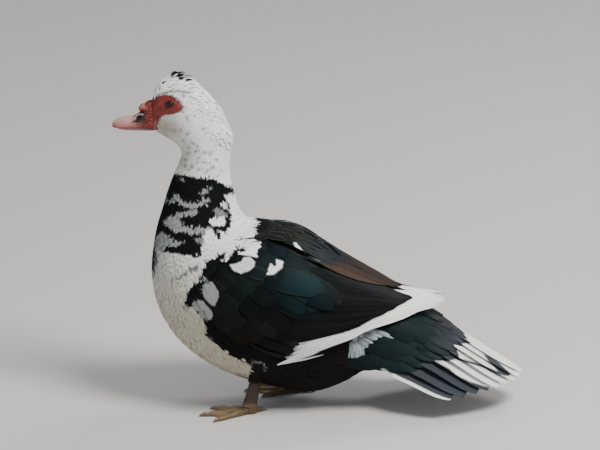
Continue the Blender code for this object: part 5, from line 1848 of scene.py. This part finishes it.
def eyes():
    """The two eyeballs, each with a slightly raised cornea."""
    finish = plain_material(
        "wet_eye", 0.08, Specular_IOR_Level=0.22, Coat_Weight=0.12, Coat_Roughness=0.03
    ).material
    rows, ring = MESH["eye"]
    polar, around = np.linspace(0, math.pi, rows)[1:-1, None], circle(ring)
    radius = EYE_RADIUS * MM * (1 + 0.035 * (1 - zone("cornea", polar)))
    for s, sign in SIDES.items():
        centre, out, back, up = eye_frame(sign)
        spoke = back * np.cos(around)[..., None] + up * np.sin(around)[..., None]
        way = out * np.cos(polar)[..., None] + spoke * np.sin(polar)[..., None]
        data = loft_mesh(f"eye_{s}_fine", centre + way * radius[..., None])
        tinted(data, eye_tint(polar, around))
        smooth_piece(data, finish, "eye", f"eye_{s}")


# ------------------------------------------------------------------ bill

BILL_PINK, BILL_PALE, BILL_RED, BILL_DARK, NOSTRIL_SHADE, NAIL_PALE = np.array((
    (0.36, 0.16, 0.145), (0.48, 0.29, 0.255), (0.19, 0.038, 0.038), (0.022, 0.008, 0.008),
    (0.006, 0.003, 0.003), (0.72, 0.52, 0.44),
))
BILL_RIM, BILL_FLOOR_POINTS = 0.6, 12  # how far the floor stays inside the edge, and its points
BILL_GAPS = 0.15, -0.25  # of the upper and the lower half from the line of the mouth
NOSTRIL, NOSTRIL_SLOPE = (231, 388.6), 0.6


def nostril_reach(x, z):
    """How far a place on the bill's side is from the nostril's middle, 1 at its edge."""
    away_x, away_z = x - NOSTRIL[0], z - NOSTRIL[1]
    return np.hypot((away_x - 0.5 * away_z) / 5.0, (away_z + NOSTRIL_SLOPE * away_x) / 2.3)


def bill_rings(rows, floor, count, across):
    """Sections along a half of the bill: an arch from edge to edge and a flat floor."""
    station = np.linspace(0, len(rows) - 1, count)
    x, top, width = through(rows, station).T[..., None]
    a = np.linspace(0, math.pi, across)
    # the end is closed round
    past = np.maximum(0, station - (len(rows) - 1.45)) / 0.46
    end = np.sqrt(np.clip(1 - past**2, 0.05, 1))[:, None]
    height = mix(floor, top, np.sin(a) ** 0.9 * (0.35 + 0.65 * end))
    upper = stack(x, width * np.cos(a) * end, height)
    b = np.linspace(math.pi, 0, BILL_FLOOR_POINTS)[1:-1]
    lower = stack(x, (width - BILL_RIM) * np.cos(b) * end, floor)
    return np.concatenate([upper, lower], axis=1)


def bill_tint(places):
    """Red at the base, black over the middle, and pink and pale in front and along the edge."""
    x, y, z = places.T / MM
    # streaks run along the bill
    streak = grain(np.stack([x * 0.12, y, z], axis=1), 2.6, 45)
    blotch = grain(places, 0.007, 46)
    tip = zone("bill_tip", x + 0.3 * (z - 384) + 1.3 * grain(places, 0.008, 41))
    pale = zone("bill_pale", (z - 377) / 10 + 0.16 * streak + 0.2 * blotch)
    pink = over(BILL_PINK, BILL_PALE, pale)
    pink = over(pink, BILL_RED * 1.5, (1 - zone("bill_edge", z)) * 0.8)
    base = BILL_RED * (1 + 0.25 * streak[:, None])
    tone = over(base, pink, zone("bill_pink", x + 1.6 * streak + 2.0 * blotch))
    tone = over(tone, BILL_DARK, zone("bill_dark", z + 0.8 * blotch) * (1 - tip))
    away = nostril_reach(x, z)
    above = z > NOSTRIL[1] - (x - NOSTRIL[0]) * NOSTRIL_SLOPE
    tone = over(tone, BILL_PALE, hump((away - 1.5) / 0.32) * above)
    # the nostril's hollow is painted near black: painted shade inside it
    tone = over(tone, NOSTRIL_SHADE, 1 - zone("nostril", away))
    nail = zone("nail", x) * (1 - zone("nail_side", np.abs(y)))
    tone = over(tone, NAIL_PALE, nail * 0.6)
    mouth = 1 - zone("mouth", np.abs(z - MOUTH_HEIGHT))
    return np.clip(over(tone, BILL_RED * 0.5, mouth * 0.8), 0, 1)


def shape_upper(places):
    """Gives the upper bill its nostrils, the ridge over the nail and a faint groove along each edge.
    x, y and z are views of the places, so each step works on what the last one left."""
    x, y, z = places.T
    away, side = nostril_reach(x, z), np.abs(y) > 3
    hollow = np.clip(1 - away**2, 0, 1) ** 0.7 * side * 3.2
    y -= np.sign(y) * (hollow - hump((away - 1.4) / 0.35) * side * 0.6)
    z += 0.5 * hump((x - 263) / 2.6) * (np.abs(y) < 5) * (z > 378)
    groove = hump((z - MOUTH_HEIGHT - 3.4) / 0.7) * (x > 224) * (x < 258)
    y -= np.sign(y) * groove * 0.45
    streak = grain(places * np.array([0.15, 1, 1]), 3.2, 45)
    y += np.sign(y) * (0.16 * streak + 0.1 * grain(places, 4, 44))


def bill():
    finish = mottled_material(
        "bill_horn", 0.36, 420, 4, 0.9, 1.08, (900, 0.2, 0.0003), Specular_IOR_Level=0.5,
        Subsurface_Weight=0.05
    ).material
    upper, lower = (MOUTH_HEIGHT + gap for gap in BILL_GAPS)
    rings = bill_rings(UPPER_ROWS, upper, *MESH["bill_upper"])
    shape_upper(rings.reshape(-1, 3))
    data = loft_mesh("bill_upper_fine", rings * MM)
    tinted(data, bill_tint(points_of(data)))
    smooth_piece(data, finish, "bill", "bill_upper")
    data = loft_mesh("bill_lower_fine", bill_rings(LOWER_ROWS, lower, *MESH["bill_lower"]) * MM)
    places = points_of(data) / MM
    pink = zone("lower_pink", places[:, 0] + 3 * grain(places, 6, 47))
    tinted(data, over(BILL_RED * 1.2, BILL_PINK, pink))
    smooth_piece(data, finish, "bill", "bill_lower")


# ------------------------------------------------------------------ legs and feet

SHANK_RADII = (8.4, 6.8)
TOES = {"inner": (-30, 46), "middle": (0, 60), "outer": (27, 55), "hind": (196, 17)}
TOE_HALF_WIDTH, TOE_HEIGHT = 4.6, 8.5
CLAW_LENGTH, CLAW_RADIUS = 9, 2.8
FOOT_VOXEL, HEEL_RING = 0.7 * MM, 32
SCUTE, SHANK_SCUTE = 2.6, 1.25  # length of a scute on the toes, and how much longer on the shank
WEB_TOP, WEB_FLOOR = 1.9, 0.7  # heights of the web's upper and lower side at its thinnest
LEG_DARK, LEG_TAN, LEG_YELLOW = np.array((
    (0.042, 0.022, 0.014), (0.2, 0.135, 0.066), (0.42, 0.22, 0.06),
))
# the right web is painted yellower than the left: painted light on the right foot
WEB_YELLOW = {"left": 0.35, "right": 0.9}
CUFF_RINGS, CUFF_AROUND = 12, 22  # feathers down the cuff and round it
CUFF_HALF_WIDTH, CUFF_TIP = 2.2 * MM, 0.3 * MM
CLAW_HORN = (0.13, 0.1, 0.07, 1)


def leg_material():
    made = mottled_material("leg_skin", 0.5, 500, 4, 0.8, 1.15, Specular_IOR_Level=0.4)
    cells = made.add("TexVoronoi", {"Scale": 900.0})
    made.bump(cells.outputs["Distance"], 0.4, 0.0003)
    return made.material


def saw(value):
    """A scute's profile: it rises slowly and drops at its free edge."""
    part = np.mod(value, 1)
    return smooth_step(0, 0.75, part) * (1 - smooth_step(0.86, 1.0, part))


def shank(side, finish):
    """The scaled leg, from the cuff's feathers down into the foot."""
    low, high = LEGS[side]["ankle"][2] - 3, CUFF[side][0] - 8
    rows, ring = MESH["shank"]
    height, share, a = np.linspace(high, low, rows)[:, None] * MM, steps(rows), circle(ring)
    swell = 1 + 0.14 * np.cos(math.pi * share) ** 2 - 0.1 * np.sin(math.pi * share)
    front = smooth_step(-0.2, 0.5, np.cos(a))
    scutes = saw(height / MM / SCUTE / SHANK_SCUTE) * front * 0.45
    small = 0.18 * np.sin(height / MM * 2.6) * np.sin(a * 9) * (1 - front)
    rx, ry = (radius * swell + scutes + small for radius in SHANK_RADII)
    rings = leg_line(side, height) + stack(rx * np.cos(a), ry * np.sin(a), 0.0) * MM
    data = loft_mesh(f"leg_{side}_fine", rings)
    z = points_of(data)[:, 2] / MM
    tone = over(LEG_TAN, LEG_DARK, zone("shank_dark", z) * 0.93)
    tone = over(tone, TONES["brown_black"], zone("cuff_dark", z - CUFF[side][1]))
    tinted(data, tone * mix(0.7, 1.1, np.clip(scutes.ravel() / 0.4, 0, 1))[:, None])
    smooth_piece(data, finish, "leg_skin", f"leg_{side}")


def toe_line(side, name):
    """Where a toe starts on the ground, the ways along and across it, and its length."""
    angle, length = TOES[name]
    heading = math.radians(SIDES[side] * (LEGS[side]["toes_out"] + angle))
    x, y = math.cos(heading), math.sin(heading)
    start = np.array((*LEGS[side]["ankle"][:2], 0)) * MM
    return start, np.array((x, y, 0)), np.array((-y, x, 0)), length * MM


def toe_mesh(side, name):
    """A toe that lies flat on the ground and swells at its joints."""
    start, ahead, across, length = toe_line(side, name)
    rows, ring = MESH["toe"]
    f, a = steps(rows), circle(ring)
    joint = 1 + 0.09 * np.cos(f * 5 * math.pi)
    width = TOE_HALF_WIDTH * MM * mix(1.1, 0.72, f) * joint
    tall = TOE_HEIGHT * MM * mix(1.05, 0.62, f) * joint
    height = tall * (0.5 + 0.5 * squared(np.sin(a), 2.3))
    rings = start + ahead * (length * f)[..., None] + across * (width * squared(np.cos(a), 2.3))[..., None]
    return loft_mesh("toe", rings + stack(0.0, 0.0, height))


def web_mesh(side, first, second):
    """The web between two toes, a little hollow along its outer edge."""
    start, ahead_a, _, length_a = toe_line(side, first)
    _, ahead_b, _, length_b = toe_line(side, second)
    rows, across = MESH["web"]
    share, f = np.linspace(0, 1, across), steps(rows)
    heading = unit(mix(ahead_a, ahead_b, share[:, None]))
    reach = mix(length_a, length_b, share) * (0.96 - 0.19 * np.sin(math.pi * share))
    edge = start + heading * (reach * f)[..., None]
    sag = 0.5 + 1.0 * np.abs(np.cos(math.pi * share)) + 0.35 * np.sin(share * 26) * f
    upper, lower = stack(0.0, 0.0, (WEB_TOP + sag) * MM), stack(0.0, 0.0, WEB_FLOOR * MM)
    return grid_slab("web", edge + upper, edge + lower)


def heel_mesh(side):
    x, y, z = LEGS[side]["ankle"]
    levels = np.array(((0, 0.95), (2, 1.15), (6, 1.2), (z - 1.3, 1.12), (z + 2, 0.98)))
    height, grow, a = levels[:, :1], levels[:, 1:], circle(HEEL_RING)
    across, along = (radius * grow for radius in SHANK_RADII)
    return loft_mesh("heel", stack(x + across * np.cos(a), y + along * np.sin(a), height) * MM)


def foot_relief(side, places, normals):
    """Scutes on the toes and grain on the webs in millimetres, and where the webs are."""
    relief, best = np.zeros(len(places)), np.full(len(places), 1e9)
    for name in TOES:
        start, ahead, _, _ = toe_line(side, name)
        away = places - start
        along = away @ ahead
        off = np.linalg.norm(away - along[:, None] * ahead - np.array((0, 0, 1)) * away[:, 2:], axis=1)
        nearer = (off < best) & (along > 0)
        best = np.where(nearer, off, best)
        on_toe = smooth_step(0.2, 0.7, normals[:, 2]) * (1 - zone("toe_side", off / MM))
        relief = np.where(nearer, saw(along / MM / SCUTE) * on_toe * 0.5, relief)
    web = zone("web", best / MM)
    return relief + web * 0.12 * grain(places, 0.004, 61), web


def foot(side, finish):
    meshes = [heel_mesh(side)] + [toe_mesh(side, name) for name in TOES]
    meshes += [web_mesh(side, "inner", "middle"), web_mesh(side, "middle", "outer")]
    obj = remeshed(f"foot_{side}_fine", meshes, FOOT_VOXEL, finish, 2)
    places, normals = points_of(obj.data), normals_of(obj.data)
    relief, web = foot_relief(side, places, normals)
    places = raised(obj.data, places, normals, relief)
    # the right web's larger share of yellow is painted light
    tone = over(LEG_TAN, LEG_YELLOW, web * WEB_YELLOW[side])
    from_ankle = np.linalg.norm(places - np.array(LEGS[side]["ankle"], float) * MM, axis=1)
    tone = over(tone, LEG_DARK, np.clip(np.exp(-from_ankle / (14 * MM)) * 1.3, 0, 0.8))
    tinted(obj.data, tone * mix(0.72, 1.12, np.clip(relief / 0.4, 0, 1))[:, None])
    place(obj, "leg_skin", f"foot_{side}")


def claws(side, finish):
    """A blunt claw at the end of each toe, flat to the ground."""
    rows, ring = MESH["claw"]
    f, a = steps(rows), circle(ring)
    radius = CLAW_RADIUS * MM * np.sqrt(np.clip(1 - f**1.6, 0.004, 1))
    drop = CLAW_RADIUS * MM * (1.18 - 0.8 * f * f) + 0.15 * MM
    for name in TOES:
        start, ahead, across, length = toe_line(side, name)
        base = start + ahead * (length - 0.6 * MM)
        centre = base + ahead * (CLAW_LENGTH * MM * f)[..., None] + stack(0.0, 0.0, drop)
        rings = centre + across * (radius * 0.8 * np.cos(a))[..., None] + stack(0.0, 0.0, radius * np.sin(a))
        rings[..., 2] = np.maximum(rings[..., 2], 0.1 * MM)
        data = loft_mesh(f"claw_{side}_{name}_fine", rings)
        smooth_piece(data, finish, "claw", f"claw_{side}_{name}")


def claw_material():
    made = Nodes("claw_horn", 0.35)
    streaks = made.span(made.noise(None, 600, 3), 0.35, 0.65, 0.7, 1.3)
    tone = made.add("RGB")
    tone.outputs[0].default_value = CLAW_HORN
    made.colour(made.shaded(tone.outputs[0], streaks))
    return made.material


def legs():
    finish, horn = leg_material(), claw_material()
    for side in SIDES:
        shank(side, finish)
        foot(side, finish)
        claws(side, horn)
        cuff_feathers(side)


def cuff_feathers(side):
    """The small dark feathers that end over the shank."""
    draw = draws("cuff")
    f, width = feather_rows("cuff")
    shares = np.repeat(np.linspace(0.0, 0.9, CUFF_RINGS), CUFF_AROUND)
    count = len(shares)
    angles = draw.uniform(0, 2 * math.pi, count)
    share = np.minimum(shares[:, None] + 0.42 * f * draw.uniform(0.8, 1.2, count)[:, None], 1.18)
    high, low = (h * MM for h in CUFF[side])
    radius = mix(*CUFF_RADII, np.clip(share, 0, 1) ** 0.7) * MM + mix(-1.8, 0.5, f) * MM
    around = stack(np.cos(angles), np.sin(angles) * 0.9, 0.0)[:, None]
    middle = leg_line(side, mix(high, low, share)) + around * radius[..., None]
    frames = blade_frames(middle, np.broadcast_to(unit(around), middle.shape))
    half = CUFF_HALF_WIDTH * width * draw.uniform(0.8, 1.2, count)[:, None]
    half[:, -1] = CUFF_TIP
    tint = TONES["brown_black"] * draw.uniform(0.7, 1.5, (count, 1, 1)) * np.ones((1, len(f), 1))
    bake = np.stack([angles / 2 / math.pi, shares], axis=1) * 0.98
    obj = vanes(f"cuff_{side}", middle, *frames, half, half * 0.25, 0.0, 3, tint, SOFT, bake, SMALL_PATCH)
    place(obj, "dark_feathers")


# ------------------------------------------------------------------ floor, light and camera

CAMERA_DISTANCE = 18.0
VIEW_WIDTH = 0.78  # metres across the picture at the bird
VIEW_MIDDLE = (0.022, 0, 0.2407)


FLOOR_TONE, SKY_TONE, SKY_POWER = (0.62, 0.6, 0.57, 1), (0.85, 0.9, 1.0, 1), 0.4
# Lamps: place, the height they face over the origin, size in metres, power in watts, and colour.
LAMPS = {
    "key": ((-1.1, 1.1, 2.3), 0.2, 1.1, 90, (1, 0.98, 0.95)),
    "fill": ((1.7, 1.6, 1.0), 0.2, 1.4, 9, (0.95, 0.97, 1)),
    "rim": ((-1.2, -1.5, 1.8), 0.25, 0.9, 22, (1, 1, 1)),
}


def staged(name, data, spot, way):
    """A lamp or a camera at a spot, looking against the way that it is given."""
    made = bpy.data.objects.new(name, data)
    made.location = spot
    made.rotation_euler = (-way).to_track_quat("-Z", "Y").to_euler()
    bpy.context.scene.collection.objects.link(made)
    return made


def floor():
    shell = bmesh.new()
    bmesh.ops.create_grid(shell, x_segments=2, y_segments=2, size=6)
    made = Nodes("pale_floor", 0.9)
    made.shader.inputs["Base Color"].default_value = FLOOR_TONE
    new_object("floor", mesh_of("floor", shell), made.material)


def light():
    world = bpy.data.worlds.new("studio")
    world.use_nodes = True
    sky = world.node_tree.nodes["Background"].inputs
    sky[0].default_value, sky[1].default_value = SKY_TONE, SKY_POWER
    bpy.context.scene.world = world
    for name, (spot, height, size, power, colour) in LAMPS.items():
        data = bpy.data.lights.new(name, "AREA")
        data.shape, data.size, data.energy, data.color = "DISK", size, power, colour
        staged(name, data, spot, Vector(spot) - Vector((0, 0, height)))


def camera():
    """The photo's view: from the bird's left and a little above, and from far off."""
    data = bpy.data.cameras.new("camera")
    data.angle = 2 * math.atan(VIEW_WIDTH / 2 / CAMERA_DISTANCE)
    away = Vector((0, math.cos(VIEW_TILT), math.sin(VIEW_TILT)))
    bpy.context.scene.camera = staged("camera", data, Vector(VIEW_MIDDLE) + away * CAMERA_DISTANCE, away)


# ------------------------------------------------------------------ the whole bird

skin()
coat()
wings()
tail()
crest()
flank_tuft()
low_primaries()
face()
eyes()
bill()
legs()
floor()
light()
camera()
